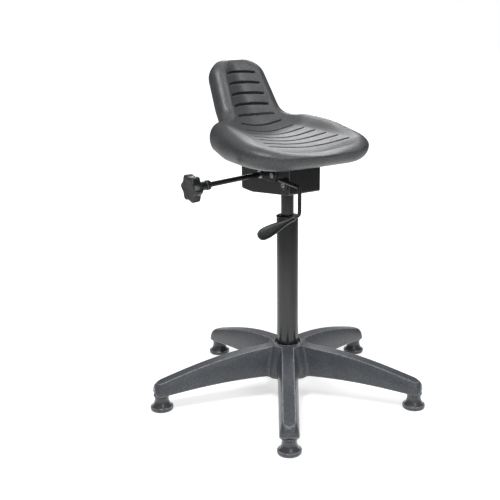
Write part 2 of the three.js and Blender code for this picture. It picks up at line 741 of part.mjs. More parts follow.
function makeLever() {
  const near = -housingHalf - gap;
  const plateOuter = near - leverPlateThickness;
  const shaftNear = -housingHalf - leverShaftReach;
  const shaftFar = housingHalf + leverShaftReach;
  const shaftAt = [leverPivotY, leverPivotZ, smallSides];
  piece('lever_shaft',
    crossRing(leverShaftBore, leverShaftRadius, shaftNear, shaftFar, ...shaftAt), 'steel');
  const clipNear = housingHalf + gap;
  piece('lever_shaft_clip', crossRing(leverShaftRadius + gap, leverShaftRadius + leverPlateThickness,
    clipNear, clipNear + clipHeight, ...shaftAt), 'steel');

  const wireZ = leverPivotZ + leverWireRise;
  const lobe = leverPlateRadius;
  const round = lobe * leverPlateRoundShare;
  const noseY = leverPivotY - 2 * lobe;
  const plateShape = [
    [leverPivotY - lobe, leverPivotZ - lobe, round], [leverPivotY + lobe, leverPivotZ - lobe, round],
    [leverPivotY + lobe, wireZ + leverWire, leverWire], [noseY, wireZ + leverWire / 2, leverWire],
    [noseY, wireZ - leverWire, leverWire / 2],
  ];
  const shaftHole = crossRod(leverShaftRadius + gap, plateOuter - overrun, near + overrun, ...shaftAt);
  piece('lever_plate', cut(sidePlate(plateShape, plateOuter, near), shaftHole), 'pressed');

  const wireX = plateOuter - gap - leverWire;
  const kneeZ = wireZ - leverKneeDrop;
  const footZ = kneeZ - leverDrop;
  const fall = paddleFall / paddleLength;
  const leadIn = 2 * leverBend;
  const rootX = wireX - leadIn;
  const tail = new THREE.Vector3(rootX - paddleSocket, leverKneeY, footZ - fall * (paddleSocket + leadIn));
  const corners = [
    new THREE.Vector3(wireX, leverWireStart, wireZ), new THREE.Vector3(wireX, leverKneeY, kneeZ),
    new THREE.Vector3(wireX, leverKneeY, footZ), tail,
  ];
  piece('lever_rod', wire(bentRoute(corners, leverBend), leverWire), 'pressed');

  // The paddle widens from the wire to a round spoon end
  const along = new THREE.Vector3(-1, 0, -fall).normalize();
  const root = new THREE.Vector3(rootX, leverKneeY, footZ - fall * leadIn);
  const up = new THREE.Vector3(0, 0, 1).addScaledVector(along, -along.z).normalize();
  const faceSide = up.clone().applyAxisAngle(along, paddleTurn * deg);
  const faceUp = along.clone().cross(faceSide);
  const paddleShares = [
    [0, 1, 1], [0.2, 1.15, 1], [0.42, 1.65, 0.95], [0.62, 2.15, 0.85], [0.8, 2.3, 0.75],
    [0.92, 1.95, 0.65], [0.98, 1.2, 0.5], [1, 0.5, 0.3],
  ];
  const widthUnit = paddleWidth / Math.max(...paddleShares.map(([, widthShare]) => widthShare));
  const rootThickness = 2 * leverWire + paddleThickness / 2;
  const loops = paddleShares.map(([place, widthShare, thickShare]) => {
    const centre = root.clone().addScaledVector(along, place * (paddleLength - leadIn));
    const halfWidth = Math.max(widthUnit * widthShare, place === 0 ? paddleRootWidth : 0) / 2;
    const thick = blend(rootThickness, paddleThickness, Math.min(1, place / paddleThinShare)) * thickShare;
    return Array.from({ length: paddleSides }, (_, k) => {
      const angle = (2 * Math.PI * k) / paddleSides;
      return centre.clone()
        .addScaledVector(faceSide, halfWidth * Math.cos(angle))
        .addScaledVector(faceUp, (thick / 2) * Math.sin(angle));
    });
  });
  const wireEnd = tail.clone().addScaledVector(along, gap);
  const wireMouth = root.clone().addScaledVector(along, -overrun);
  const socket = wire([wireMouth, wireEnd], leverWire + gap, smallSides);
  piece('lever_paddle', cut(loft(loops), socket), 'plastic');

  // The tongue rises from the shaft to lie over the release pin
  const contactZ = pinTop + gap;
  const boss = crossRing(leverShaftRadius + gap, leverShaftRadius + tongueThickness,
    -tongueWidth / 2, tongueWidth / 2, ...shaftAt);
  const elbow = -tongueElbow;
  const half = tongueThickness / 2;
  const arm = sidePlate([
    [leverPivotY + half, leverPivotZ + leverShaftRadius + half, 0],
    [leverPivotY + leverShaftRadius + half, leverPivotZ + half, 0],
    [elbow + tongueThickness, contactZ, 0], [tongueReach, contactZ, half / 2],
    [tongueReach, contactZ + tongueThickness, half / 2],
    [elbow, contactZ + tongueThickness, 0],
  ], -tongueWidth / 2, tongueWidth / 2, fewSteps);
  const bore = crossRod(leverShaftRadius + gap, -tongueWidth, tongueWidth, ...shaftAt);
  piece('lever_tongue', cut(join(boss, arm), bore), 'pressed');
}

// The clamp screw runs along X and droops a little towards the knob
function placeOnScrew(geometry) {
  return geometry.rotateY(-clampDroop * deg).translate(0, clampY, screwHeight(0));
}

function knobOutline() {
  const shape = new THREE.Shape();
  const points = knobLobes * lobeSteps;
  for (let i = 0; i <= points; i += 1) {
    const angle = (2 * Math.PI * i) / points;
    const wave = Math.pow(Math.abs(Math.sin((knobLobes * angle) / 2)), knobLobePower);
    const radius = knobRadius - knobEdge - knobLobeDepth * wave;
    const x = radius * Math.cos(angle + knobRest * deg);
    const y = radius * Math.sin(angle + knobRest * deg);
    if (i === 0) shape.moveTo(x, y);
    else if (i < points) shape.lineTo(x, y);
  }
  return shape;
}

// Distances along the screw from the column's middle plane, negative towards the knob
const knobInner = -knobPlace;
const hubEnd = knobInner + knobHubLength;
const collarEnd = hubEnd + gap + collarLength;
const leanGap = clampWasherRadius * Math.sin(clampDroop * deg) + gap;
const washerNear = -earOuter - leanGap;
const washerFar = earOuter + leanGap;
const spacerEnd = washerNear - clampWasherHeight - gap;
const clampNutStart = washerFar + clampWasherHeight + gap;

function makeClamp() {
  const alongX = (geometry) => placeOnScrew(geometry.rotateY(Math.PI / 2));
  const star = new THREE.ExtrudeGeometry(knobOutline(), {
    depth: knobThickness - 2 * knobEdge, bevelThickness: knobEdge, bevelSize: knobEdge, bevelSegments: 2,
  });
  star.translate(0, 0, knobInner - knobThickness + knobEdge);
  const hub = turned([
    [0, knobInner - knobEdge], [knobConeRadius, knobInner - knobEdge],
    [knobHubRadius, knobInner + knobConeLength], [knobHubRadius, hubEnd], [0, hubEnd],
  ]);
  const bore = rod(clampScrewRadius + gap, knobInner - knobThickness / 2, hubEnd + overrun);
  piece('clamp_knob', alongX(cut(join(star, hub), bore)), 'plastic');
  piece('knob_collar', alongX(turned([
    [clampScrewRadius + gap, hubEnd + gap], [knobCollarRadius - knobEdge / 2, hubEnd + gap],
    [knobCollarRadius, hubEnd + knobEdge], [knobCollarRadius, collarEnd - knobEdge],
    [knobCollarRadius - knobEdge / 2, collarEnd], [clampScrewRadius + gap, collarEnd],
  ])), 'plastic');
  piece('clamp_screw', alongX(rod(clampScrewRadius, knobInner - knobThickness / 2 + gap,
    clampNutStart + nutHeight + clampScrewRadius / 2)), 'steel');
  piece('clamp_spacer_tube',
    alongX(ring(clampScrewRadius + gap, spacerRadius, collarEnd + gap, spacerEnd, smallSides)), 'tube');
  piece('clamp_washer_near', alongX(ring(clampScrewRadius + gap, clampWasherRadius,
    washerNear - clampWasherHeight, washerNear, smallSides)), 'steel');
  piece('clamp_washer_far', alongX(ring(clampScrewRadius + gap, clampWasherRadius,
    washerFar, washerFar + clampWasherHeight, smallSides)), 'steel');
  piece('clamp_nut',
    alongX(hexNut(nutRadius, clampScrewRadius + gap, clampNutStart, clampNutStart + nutHeight)), 'steel');
}

// Bolts on which the seat plate's ears turn, one at each flange
function makeTiltPivot() {
  [-1, 1].forEach((side) => {
    const hand = side < 0 ? 'near' : 'far';
    const span = (a, b) => [side * a, side * b].sort((p, q) => p - q);
    const headInner = earOuter + gap;
    const nutInner = flangeInner - gap;
    const pivotAt = [pivotY, pivotZ];
    const shank = crossRod(tiltBoltRadius, ...span(nutInner - tiltNutHeight, headInner + gap), ...pivotAt);
    const headSpan = span(headInner, headInner + tiltHeadHeight);
    const head = crossRod(tiltHeadRadius, ...headSpan, ...pivotAt, hexSides);
    piece(`tilt_bolt_${hand}`, join(shank, head), 'steel');
    const nut = hexNut(tiltNutRadius, tiltBoltRadius + gap, ...span(nutInner - tiltNutHeight, nutInner));
    piece(`tilt_nut_${hand}`, nut.rotateY(Math.PI / 2).translate(0, pivotY, pivotZ), 'steel');
    piece(`tilt_bush_${hand}`, crossRing(tiltBoltRadius + gap, tiltBoltRadius + gap + bushWall,
      ...span(flangeInner, housingHalf), pivotY, pivotZ, smallSides), 'plastic');
  });
}

// The seat group leans with the seat: its origin is on the column's axis at the profile's height
const seatGroup = new THREE.Group();
seatGroup.position.z = seatHeight;
seatGroup.rotation.x = seatPitch * deg;
columnGroup.add(seatGroup);

// A point of the upright stool in the seat group's own Y and Z
function seatFrame(y, z) {
  const cos = Math.cos(seatPitch * deg);
  const sin = Math.sin(seatPitch * deg);
  const dz = z - seatHeight;
  return [y * cos + dz * sin, dz * cos - y * sin];
}

const plateTop = -seatDepth - gap;
const plateBottom = plateTop - plateThickness;
const seatBoltPlaces = [[-1, seatBoltFront], [1, seatBoltFront], [-1, seatBoltRear], [1, seatBoltRear]];

function makeSeatPlate() {
  const plate = flatPlate([
    [-plateHalf, plateFront, plateCorner], [plateHalf, plateFront, plateCorner],
    [plateHalf, plateRear, plateCorner], [-plateHalf, plateRear, plateCorner],
  ], plateBottom, plateTop);
  const weld = plateBottom + plateThickness / 2;
  const ears = [-1, 1].map((side) => {
    const faces = [side * earInner, side * earOuter].sort((a, b) => a - b);
    const [screwY, screwZ] = seatFrame(clampY, screwHeight(side * earOuter));
    const [, underside] = seatFrame(earFront, earUnderside);
    const low = Math.min(underside, screwZ - earClampRadius);
    const earRear = screwY + earClampRadius;
    const front = sidePlate([
      [earFront, underside, earCorner], [screwY - earClampRadius, low, earCorner],
      [earRear, low, earClampRadius * earRoundShare], [earRear + earFlare, weld, 0],
      [earFront - earFlare, weld, 0],
    ], ...faces, fewSteps);
    const [inside, outside] = faces;
    const hole = crossRod(clampScrewRadius + screwClearance, inside - overrun, outside + overrun,
      screwY, screwZ);
    return cut(front, hole);
  });
  const [boltY, boltZ] = seatFrame(pivotY, pivotZ);
  const reach = earOuter + overrun;
  const pivotHole = crossRod(tiltBoltRadius + gap, -reach, reach, boltY, boltZ);
  const boltHoles = seatBoltPlaces.map(([side, y]) =>
    rod(seatBoltRadius + gap, plateBottom - overrun, plateTop + overrun).translate(side * seatBoltX, y, 0));
  piece('seat_plate', cut(join(plate, ...ears), pivotHole, ...boltHoles), 'pressed', seatGroup);

  seatBoltPlaces.forEach(([side, y], i) => {
    const under = plateBottom - gap;
    const bolt = turned([
      [0, under - seatBoltHeadHeight], [seatBoltHead, under - seatBoltHeadHeight], [seatBoltHead, under],
      [seatBoltRadius, under], [seatBoltRadius, under + seatBoltLength], [0, under + seatBoltLength],
    ], smallSides);
    piece(`seat_bolt_${i + 1}`, bolt, 'steel', seatGroup).position.set(side * seatBoltX, y, 0);
  });
}

// Half length of a channel, and so the width of the dish, at a place along the profile
function dishHalf(v) {
  if (v < backGrooveStart) {
    const share = (v - seatGrooveStart) / (backGrooveStart - seatGrooveStart);
    return blend(frontGrooveHalf, rootGrooveHalf, share);
  }
  const last = backGrooveStart + (backGrooveCount - 1) * backGroovePitch;
  return blend(rootGrooveHalf, topGrooveHalf, (v - backGrooveStart) / (last - backGrooveStart));
}

// Height of the seat's upper face over the profile, u across and v along it
function faceHeight(u, v) {
  const depth = blend(seatDish, backDish, fade(v, backDishStart, backDishEnd));
  const dish = depth * (1 - 2 * Math.pow(2, -((u / dishHalf(v)) ** 2)));
  const front = Math.max((frontFallStart - v) / (frontFallStart - seatFront), 0);
  const side = fade(Math.abs(u), dishHalf(v), bendFadeEnd) * fade(v, frontFallStart, bendStart);
  const lift = rimLift * side * (1 - fade(v, rearCorner, backGrooveStart + backGroovePitch));
  return dish + lift - frontFall * front * front;
}

const equator = (v) => -blend(equatorDepth, backEquatorDepth, fade(v, depthFadeStart, depthFadeEnd));
const underside = (v) => -blend(seatDepth, backDepth, fade(v, depthFadeStart, depthFadeEnd));

// A point at height h over the profile; beyond the back's sides the profile stays flat
function seatPoint(u, v, h) {
  const bendLength = bendRadius * (backPitch - seatPitch) * deg;
  const turn = (backPitch - seatPitch) * deg * (1 - fade(Math.abs(u), bendFadeStart, bendFadeEnd));
  const bent = Math.min(Math.max(v - bendStart, 0), bendLength);
  const beyond = Math.max(v - bendStart - bendLength, 0);
  const angle = (turn * bent) / bendLength;
  const chord = angle > 0 ? (bent * Math.sin(angle / 2)) / (angle / 2) : bent;
  const y = Math.min(v, bendStart) + chord * Math.cos(angle / 2) + beyond * Math.cos(turn);
  const z = chord * Math.sin(angle / 2) + beyond * Math.sin(turn);
  return new THREE.Vector3(u, y - h * Math.sin(angle), z + h * Math.cos(angle));
}

// The seat's outline in u and v, as evenly spaced points with their outward normals
const acrossSteps = 8;
const alongSteps = 16;
const frontShare = 0.2;       // part of the half outline that is the front edge
const topShare = 0.11;        // and the back's top edge

function seatOutline() {
  const half = [
    [seatHalf, seatFront + seatFrontSweep, seatFrontRadius], [sideHalf, sideMiddle, sideRadius],
    [rearCornerHalf, rearCorner, rearCornerRadius],
    [backRootHalf, backRoot, backRootRadius], [backHalf, backTop, backTopRadius],
  ];
  const corners = [[0, seatFront, 0], ...half, [0, backTop, 0],
    ...half.map(([x, y, radius]) => [-x, y, radius]).reverse()];
  const path = roundedOutline(corners, THREE.Path);
  path.closePath();
  path.arcLengthDivisions = 1000;
  const places = [];
  const addRun = (from, to, count) => {
    for (let k = 0; k < count; k += 1) places.push(blend(from, to, k / count));
  };
  const side = [frontShare / 2, (1 - topShare) / 2];
  addRun(-side[0], side[0], acrossSteps);
  addRun(side[0], side[1], alongSteps);
  addRun(side[1], 1 - side[1], acrossSteps);
  addRun(1 - side[1], 1 - side[0], alongSteps);
  return places.map((place) => {
    const at = (place + 1) % 1;
    const point = path.getPointAt(at);
    const tangent = path.getTangentAt(at);
    return { point, normal: new THREE.Vector2(tangent.y, -tangent.x) };
  });
}

// Fills a closed loop of outline points with rows that follow its four sides
function fillLoop(loop) {
  const at = (i, j) => {
    if (j === 0) return loop[i];
    if (i === acrossSteps) return loop[acrossSteps + j];
    if (j === alongSteps) return loop[2 * acrossSteps + alongSteps - i];
    return loop[(2 * acrossSteps + 2 * alongSteps - j) % loop.length];
  };
  const rows = [];
  for (let j = 0; j <= alongSteps; j += 1) {
    const t = j / alongSteps;
    rows.push(Array.from({ length: acrossSteps + 1 }, (_, i) => {
      if (i === 0 || j === 0 || i === acrossSteps || j === alongSteps) return at(i, j);
      const s = i / acrossSteps;
      const sides = [[at(i, 0), 1 - t], [at(i, alongSteps), t], [at(0, j), 1 - s], [at(acrossSteps, j), s]];
      const ends = [[at(0, 0), (1 - s) * (1 - t)], [at(acrossSteps, 0), s * (1 - t)],
        [at(0, alongSteps), (1 - s) * t], [at(acrossSteps, alongSteps), s * t]];
      const sum = new THREE.Vector2();
      sides.forEach(([p, weight]) => sum.addScaledVector(p, weight));
      ends.forEach(([p, weight]) => sum.addScaledVector(p, -weight));
      return sum;
    }));
  }
  return rows;
}

function seatShell() {
  const outline = seatOutline();
  const count = outline.length;
  const inset = (distance) => outline.map(({ point, normal }) =>
    point.clone().addScaledVector(normal, -distance(point.y)));
  const seatInset = (v) => blend(frontInset, undersideInset, fade(v, frontFallStart, sideMiddle));
  const lowerInset = (v) => blend(seatInset(v), backInset, fade(v, depthFadeStart, depthFadeEnd));
  const rings = [];
  const upperSteps = 3;
  const lowerSteps = 2;
  const inner = inset(() => rimWidth);
  for (let k = 0; k <= upperSteps; k += 1) {
    const turn = (Math.PI / 2) * (k / upperSteps);
    const points = inset(() => rimWidth * (1 - Math.sin(turn)));
    rings.push(points.map((p, i) => {
      const top = faceHeight(inner[i].x, inner[i].y);
      return seatPoint(p.x, p.y, blend(equator(p.y), top, Math.cos(turn)));
    }));
  }
  for (let k = 1; k <= lowerSteps; k += 1) {
    const turn = (Math.PI / 2) * (k / lowerSteps);
    const points = inset((v) => lowerInset(v) * (1 - Math.cos(turn)));
    rings.push(points.map((p) => seatPoint(p.x, p.y, blend(equator(p.y), underside(p.y), Math.sin(turn)))));
  }
  const points = rings.flat();
  const faces = [];
  for (let k = 0; k + 1 < rings.length; k += 1) {
    for (let i = 0; i < count; i += 1) {
      const j = (i + 1) % count;
      const [a, b, c, d] = [k * count + i, (k + 1) * count + i, (k + 1) * count + j, k * count + j];
      faces.push(a, b, c, a, c, d);
    }
  }
  const addFace = (loop, base, height, flip) => {
    const rows = fillLoop(loop);
    const index = rows.map((row, j) => row.map((p, i) => {
      if (j === 0) return base + i;
      if (i === acrossSteps) return base + acrossSteps + j;
      if (j === alongSteps) return base + 2 * acrossSteps + alongSteps - i;
      if (i === 0) return base + 2 * acrossSteps + 2 * alongSteps - j;
      points.push(seatPoint(p.x, p.y, height(p.x, p.y)));
      return points.length - 1;
    }));
    for (let j = 0; j < alongSteps; j += 1) {
      for (let i = 0; i < acrossSteps; i += 1) {
        const quad = [index[j][i], index[j][i + 1], index[j + 1][i + 1], index[j + 1][i]];
        const [a, b, c, d] = flip ? quad.reverse() : quad;
        faces.push(a, b, c, a, c, d);
      }
    }
  };
  addFace(inner, 0, faceHeight, false);
  addFace(inset(lowerInset), (rings.length - 1) * count, (x, v) => underside(v), true);
  return fromPoints(points, faces);
}

// One channel pressed into the seat's face across the dish
function grooveTool(v, bow) {
  const half = dishHalf(v);
  const steps = 5;
  const loops = [];
  for (let k = 0; k <= steps; k += 1) {
    const share = blend(-1, 1, k / steps);
    const u = half * share;
    const middle = v + bow * (1 - share * share);
    const ends = Math.abs(share) === 1 ? grooveEndShare : 1;
    const width = (grooveWidth / 2) * ends;
    const foot = width * grooveFloorShare;
    const floor = -grooveDepth * ends;
    loops.push([[-width, overrun], [-foot, floor], [foot, floor], [width, overrun]]
      .map(([across, h]) => seatPoint(u, middle + across, faceHeight(u, middle) + h)));
  }
  return loft(loops);
}

// The steel strip lies on the board and rises inside the back
function stripSolid(extra) {
  const steps = 8;
  const loops = [];
  const low = -seatDepth + boardThickness + gap + stripThickness / 2;
  for (let k = 0; k <= steps; k += 1) {
    const v = blend(stripStart - extra, stripEnd + extra, k / steps);
    const middle = blend(low, -stripCover, fade(v, boardRear, depthFadeEnd));
    const x = stripHalf + extra;
    const h = stripThickness / 2 + extra;
    loops.push([[-x, -h], [-x, h], [x, h], [x, -h]].map(([u, dh]) => seatPoint(u, v, middle + dh)));
  }
  return loft(loops);
}

function boardSolid(extra, top = boardThickness) {
  const x = boardHalf + extra;
  const [front, rear] = [boardFront - extra, boardRear + extra];
  const corner = boardCorner + extra;
  return flatPlate([[-x, front, corner], [x, front, corner], [x, rear, corner], [-x, rear, corner]],
    -seatDepth - (extra > 0 ? overrun : 0), -seatDepth + top + extra);
}

function makeSeat() {
  const boltBores = seatBoltPlaces.map(([side, y]) =>
    rod(seatBoltRadius + gap, -seatDepth - overrun, -seatDepth + boardThickness + overrun)
      .translate(side * seatBoltX, y, 0));
  piece('seat_board', cut(boardSolid(0), ...boltBores), 'board', seatGroup);
  piece('back_strip', stripSolid(0), 'steel', seatGroup);
  const grooves = [];
  for (let i = 0; i < seatGrooveCount; i += 1) {
    grooves.push(grooveTool(seatGrooveStart + i * seatGroovePitch, 0));
  }
  for (let i = 0; i < backGrooveCount; i += 1) {
    grooves.push(grooveTool(backGrooveStart + i * backGroovePitch, backGrooveBow));
  }
  piece('seat_shell', cut(seatShell(), boardSolid(gap), stripSolid(gap), ...grooves), 'foam', seatGroup);
}

makeBase();
makeGlides();
makeColumn();
makeHousing();
makeLever();
makeClamp();
makeTiltPivot();
makeSeatPlate();
makeSeat();

export default stool;
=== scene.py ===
import json
import math

import bmesh
import bpy
import numpy as np
from mathutils import Matrix, Vector
from mathutils.geometry import delaunay_2d_cdt


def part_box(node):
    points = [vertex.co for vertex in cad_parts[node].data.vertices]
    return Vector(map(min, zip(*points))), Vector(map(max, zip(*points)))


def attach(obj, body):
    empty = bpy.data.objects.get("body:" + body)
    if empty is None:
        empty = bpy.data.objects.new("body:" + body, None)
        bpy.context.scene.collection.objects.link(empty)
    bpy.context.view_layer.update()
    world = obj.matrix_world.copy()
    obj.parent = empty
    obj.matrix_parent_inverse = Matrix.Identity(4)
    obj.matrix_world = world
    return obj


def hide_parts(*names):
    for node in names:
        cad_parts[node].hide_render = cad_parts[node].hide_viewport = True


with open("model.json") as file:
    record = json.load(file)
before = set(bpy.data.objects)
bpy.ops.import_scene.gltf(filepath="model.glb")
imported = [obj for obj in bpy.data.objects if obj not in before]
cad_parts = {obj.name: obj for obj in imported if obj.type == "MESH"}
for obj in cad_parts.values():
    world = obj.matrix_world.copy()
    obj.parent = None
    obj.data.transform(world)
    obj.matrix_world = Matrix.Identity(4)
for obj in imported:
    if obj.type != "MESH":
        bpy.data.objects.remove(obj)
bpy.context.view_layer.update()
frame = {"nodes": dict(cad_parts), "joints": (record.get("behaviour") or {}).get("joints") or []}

# Perch stool. Metres, +Z up, the seat faces -Y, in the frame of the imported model.
# Pieces are drawn about the column's axis, and columnPlace then moves them to it.
deg = math.pi / 180
tubeLow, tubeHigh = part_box("outer_column_tube")
cylinderLow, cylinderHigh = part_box("pressure_cylinder")
columnPlace = Vector(((tubeLow.x + tubeHigh.x) / 2, (tubeLow.y + tubeHigh.y) / 2, 0))
joints = {joint["name"]: joint for joint in frame["joints"]}
tiltPivot = Vector(joints["seat_tilt"]["pos_m"]) - columnPlace
leverPivot = Vector(joints["lever_press"]["pos_m"]) - columnPlace
scene = bpy.context.scene


def blendTo(a, b, share):
    return a + (b - a) * share


def fade(x, start, end):
    t = np.clip((x - start) / (end - start), 0, 1)
    return t * t * (3 - 2 * t)


# Meshes

def addMesh(name, points, faces, place=None, sharpAngle=38):
    mesh = bpy.data.meshes.new(name)
    mesh.from_pydata([tuple(map(float, p)) for p in points], [], [tuple(map(int, f)) for f in faces])
    mesh.transform(Matrix.Translation(columnPlace) @ (place or Matrix.Identity(4)))
    shape = bmesh.new()
    shape.from_mesh(mesh)
    bmesh.ops.remove_doubles(shape, verts=shape.verts, dist=1e-6)
    bmesh.ops.recalc_face_normals(shape, faces=shape.faces)
    shape.to_mesh(mesh)
    shape.free()
    mesh.shade_smooth()
    mesh.set_sharp_from_angle(angle=sharpAngle * deg)
    obj = bpy.data.objects.new(name, mesh)
    scene.collection.objects.link(obj)
    return obj


# Faces between two closed loops of points that have as many points each
def bridge(first, second, count):
    return [(first + i, first + (i + 1) % count, second + (i + 1) % count, second + i)
            for i in range(count)]


def turnsOf(count):
    return np.arange(count) * 2 * math.pi / count


# What a quarter round leaves off along each of its two sides, at a turn in degrees
def roundOff(radius, turn):
    return radius * (1 - math.cos(turn * deg)), radius * (1 - math.sin(turn * deg))


# A skin over loops of points. Where the last loop is the first again it closes into a ring,
# and otherwise one face closes each end.
def loft(name, loops, place=None, sharpAngle=38):
    count, last = len(loops[0]), len(loops) - 1
    points = np.concatenate(loops)
    faces = []
    for k in range(last):
        faces += bridge(k * count, (k + 1) * count, count)
    if np.allclose(loops[0], loops[-1]):
        points = points[:-count]
        faces = [tuple(i % len(points) for i in face) for face in faces]
    else:
        faces.append(tuple(reversed(range(count))))
        faces.append(tuple(last * count + i for i in range(count)))
    return addMesh(name, points, faces, place, sharpAngle)


# A round of [radius, height] pairs about Z
def lathe(name, profile, sides=96, place=None, sharpAngle=38):
    angles = turnsOf(sides)
    loops = [np.stack([radius * np.cos(angles), radius * np.sin(angles), np.full(sides, height)], 1)
             for radius, height in profile]
    return loft(name, loops, place, sharpAngle)


# Rounds the corners of a closed profile, each with its own radius; the first point comes again last
def softProfile(corners, steps):
    out = []
    for i, (x, y, radius) in enumerate(corners):
        here = np.array([x, y])
        if radius == 0:
            out.append(here)
            continue
        back = np.array(corners[i - 1][:2]) - here
        ahead = np.array(corners[(i + 1) % len(corners)][:2]) - here
        back, ahead = back / np.linalg.norm(back), ahead / np.linalg.norm(ahead)
        half = math.acos(np.clip(back @ ahead, -1, 1)) / 2
        reach = radius / math.tan(half)
        middle = here + (back + ahead) / np.linalg.norm(back + ahead) * radius / math.sin(half)
        start, end = here + back * reach - middle, here + ahead * reach - middle
        sweep = math.atan2(start[0] * end[1] - start[1] * end[0], start @ end)
        for k in range(steps + 1):
            turn = sweep * k / steps
            cos, sin = math.cos(turn), math.sin(turn)
            out.append(middle + [start[0] * cos - start[1] * sin, start[0] * sin + start[1] * cos])
    return [tuple(p) for p in [*out, out[0]]]


# A rounded route through corner points, for wires
def bentRoute(corners, bend, steps=10):
    corners = [Vector(c) for c in corners]
    route = [corners[0]]
    for i in range(1, len(corners) - 1):
        back = (corners[i - 1] - corners[i]).normalized()
        ahead = (corners[i + 1] - corners[i]).normalized()
        half = back.angle(ahead) / 2
        reach = bend / math.tan(half)
        middle = corners[i] + (back + ahead).normalized() * bend / math.sin(half)
        start = corners[i] + back * reach - middle
        end = corners[i] + ahead * reach - middle
        axis = start.cross(end).normalized()
        for k in range(steps + 1):
            turn = Matrix.Rotation((math.pi - 2 * half) * k / steps, 3, axis)
            route.append(middle + turn @ start)
    route.append(corners[-1])
    return route


# Loops of a round wire along a route; its ends are rounded by loops that shrink
def wireLoops(route, radius, sides=24, endRound=0.0012):
    angles = turnsOf(sides)
    last = len(route) - 1
    ends = {0: (1, (0, 45, 90)), last: (-1, (90, 45, 0))}
    across = Vector((1, 0, 0))
    loops = []
    for i, point in enumerate(route):
        tangent = (route[min(i + 1, last)] - route[max(i - 1, 0)]).normalized()
        across = (across - tangent * across.dot(tangent)).normalized()
        up = tangent.cross(across)
        inward, turns = ends.get(i, (0, (90,)))
        for turn in turns:
            behind, less = roundOff(endRound, turn)
            centre, reach = point + tangent * (inward * behind), radius - less
            loops.append(np.array([centre + across * (reach * math.cos(a)) + up * (reach * math.sin(a))
                                   for a in angles]))
    return loops


# Whether a point lies in a closed loop, and further from its points than a margin
def insideLoop(point, loop, margin=0):
    loop = np.asarray(loop)
    x, y = point
    ax, ay = loop[:, 0], loop[:, 1]
    bx, by = np.roll(ax, -1), np.roll(ay, -1)
    crosses = (ay > y) != (by > y)
    with np.errstate(divide="ignore", invalid="ignore"):
        at = ax + (y - ay) * (bx - ax) / (by - ay)
    odd = np.count_nonzero(crosses & (x < at)) % 2 == 1
    return odd and (margin == 0 or np.min(np.hypot(ax - x, ay - y)) > margin)


# Fills the plan between an outer loop and inner loops, whose points the caller has placed.
# The extra points inside are placed by placeExtra.
def fillPlan(points, faces, loops, starts, extra=(), placeExtra=None, upward=False):
    plan, edges, where = [], [], []
    for loop, start in zip(loops, starts):
        first, size = len(plan), len(loop)
        plan += [tuple(p) for p in loop]
        edges += [(first + i, first + (i + 1) % size) for i in range(size)]
        where += range(start, start + size)
    if len(extra):
        where += range(len(points), len(points) + len(extra))
        plan += [tuple(p) for p in extra]
        points.extend(placeExtra(np.array(extra)))
    flat, _, triangles, sources, _, _ = delaunay_2d_cdt([Vector(p) for p in plan], edges, [], 0, 1e-9)
    flat = np.array([tuple(p) for p in flat])
    for triangle in triangles:
        middle = flat[list(triangle)].mean(0)
        if not insideLoop(middle, loops[0]) or any(insideLoop(middle, loop) for loop in loops[1:]):
            continue
        order = triangle if upward else reversed(triangle)
        faces.append(tuple(where[sources[i][0]] for i in order))


# Materials

def setValues(node, values):
    for socket, value in values.items():
        node.inputs[socket].default_value = value


# A shader node with its settings and the values of its sockets
def addNode(nodes, kind, values=None, **settings):
    node = nodes.new("ShaderNode" + kind)
    for name, value in settings.items():
        setattr(node, name, value)
    setValues(node, values or {})
    return node


def mapRange(nodes, band, result=(0, 1), **settings):
    return addNode(nodes, "MapRange", {"From Min": band[0], "From Max": band[1],
                                       "To Min": result[0], "To Max": result[1]}, **settings)


# Links in rows: a node and its output, then the node and input that it feeds
def wire(links, *rows):
    for source, output, target, socket in rows:
        links.new(source.outputs[output], target.inputs[socket])


def newMaterial(name):
    material = bpy.data.materials.new(name)
    material.use_nodes = True
    tree = material.node_tree
    return material, tree.nodes, tree.links, tree.nodes["Principled BSDF"]


def newGroup(name, inputs, outputs):
    group = bpy.data.node_groups.new(name, "ShaderNodeTree")
    for socketName, kind, value in inputs:
        socket = group.interface.new_socket(name=socketName, in_out="INPUT", socket_type="NodeSocket" + kind)
        socket.default_value = value
    for socketName, kind in outputs:
        group.interface.new_socket(name=socketName, in_out="OUTPUT", socket_type="NodeSocket" + kind)
    return group, group.nodes.new("NodeGroupInput"), group.nodes.new("NodeGroupOutput")


# Height of a fine moulded grain, in noise of two sizes
def makeGrain():
    look = dict(fineDetail=2, coarseDetail=1, roughness=0.6, coarseSize=0.22)
    group, start, end = newGroup("surfaceGrain", [
        ("Size", "Float", 900.0), ("Coarse Share", "Float", 0.3), ("Strength", "Float", 0.2),
        ("Depth", "Float", 0.0004),
    ], [("Normal", "Vector"), ("Height", "Float")])
    nodes = group.nodes
    coords = addNode(nodes, "TexCoord")
    fine = addNode(nodes, "TexNoise", {"Detail": look["fineDetail"], "Roughness": look["roughness"]})
    coarse = addNode(nodes, "TexNoise", {"Detail": look["coarseDetail"]})
    coarseSize = addNode(nodes, "Math", {1: look["coarseSize"]}, operation="MULTIPLY")
    mix = addNode(nodes, "Mix")
    bump = addNode(nodes, "Bump")
    wire(group.links,
         (coords, "Object", fine, "Vector"), (coords, "Object", coarse, "Vector"),
         (start, "Size", fine, "Scale"), (start, "Size", coarseSize, 0), (coarseSize, 0, coarse, "Scale"),
         (start, "Coarse Share", mix, 0), (fine, "Fac", mix, 2), (coarse, "Fac", mix, 3),
         (mix, 0, bump, "Height"), (start, "Strength", bump, "Strength"),
         (start, "Depth", bump, "Distance"), (bump, "Normal", end, "Normal"), (mix, 0, end, "Height"))
    return group


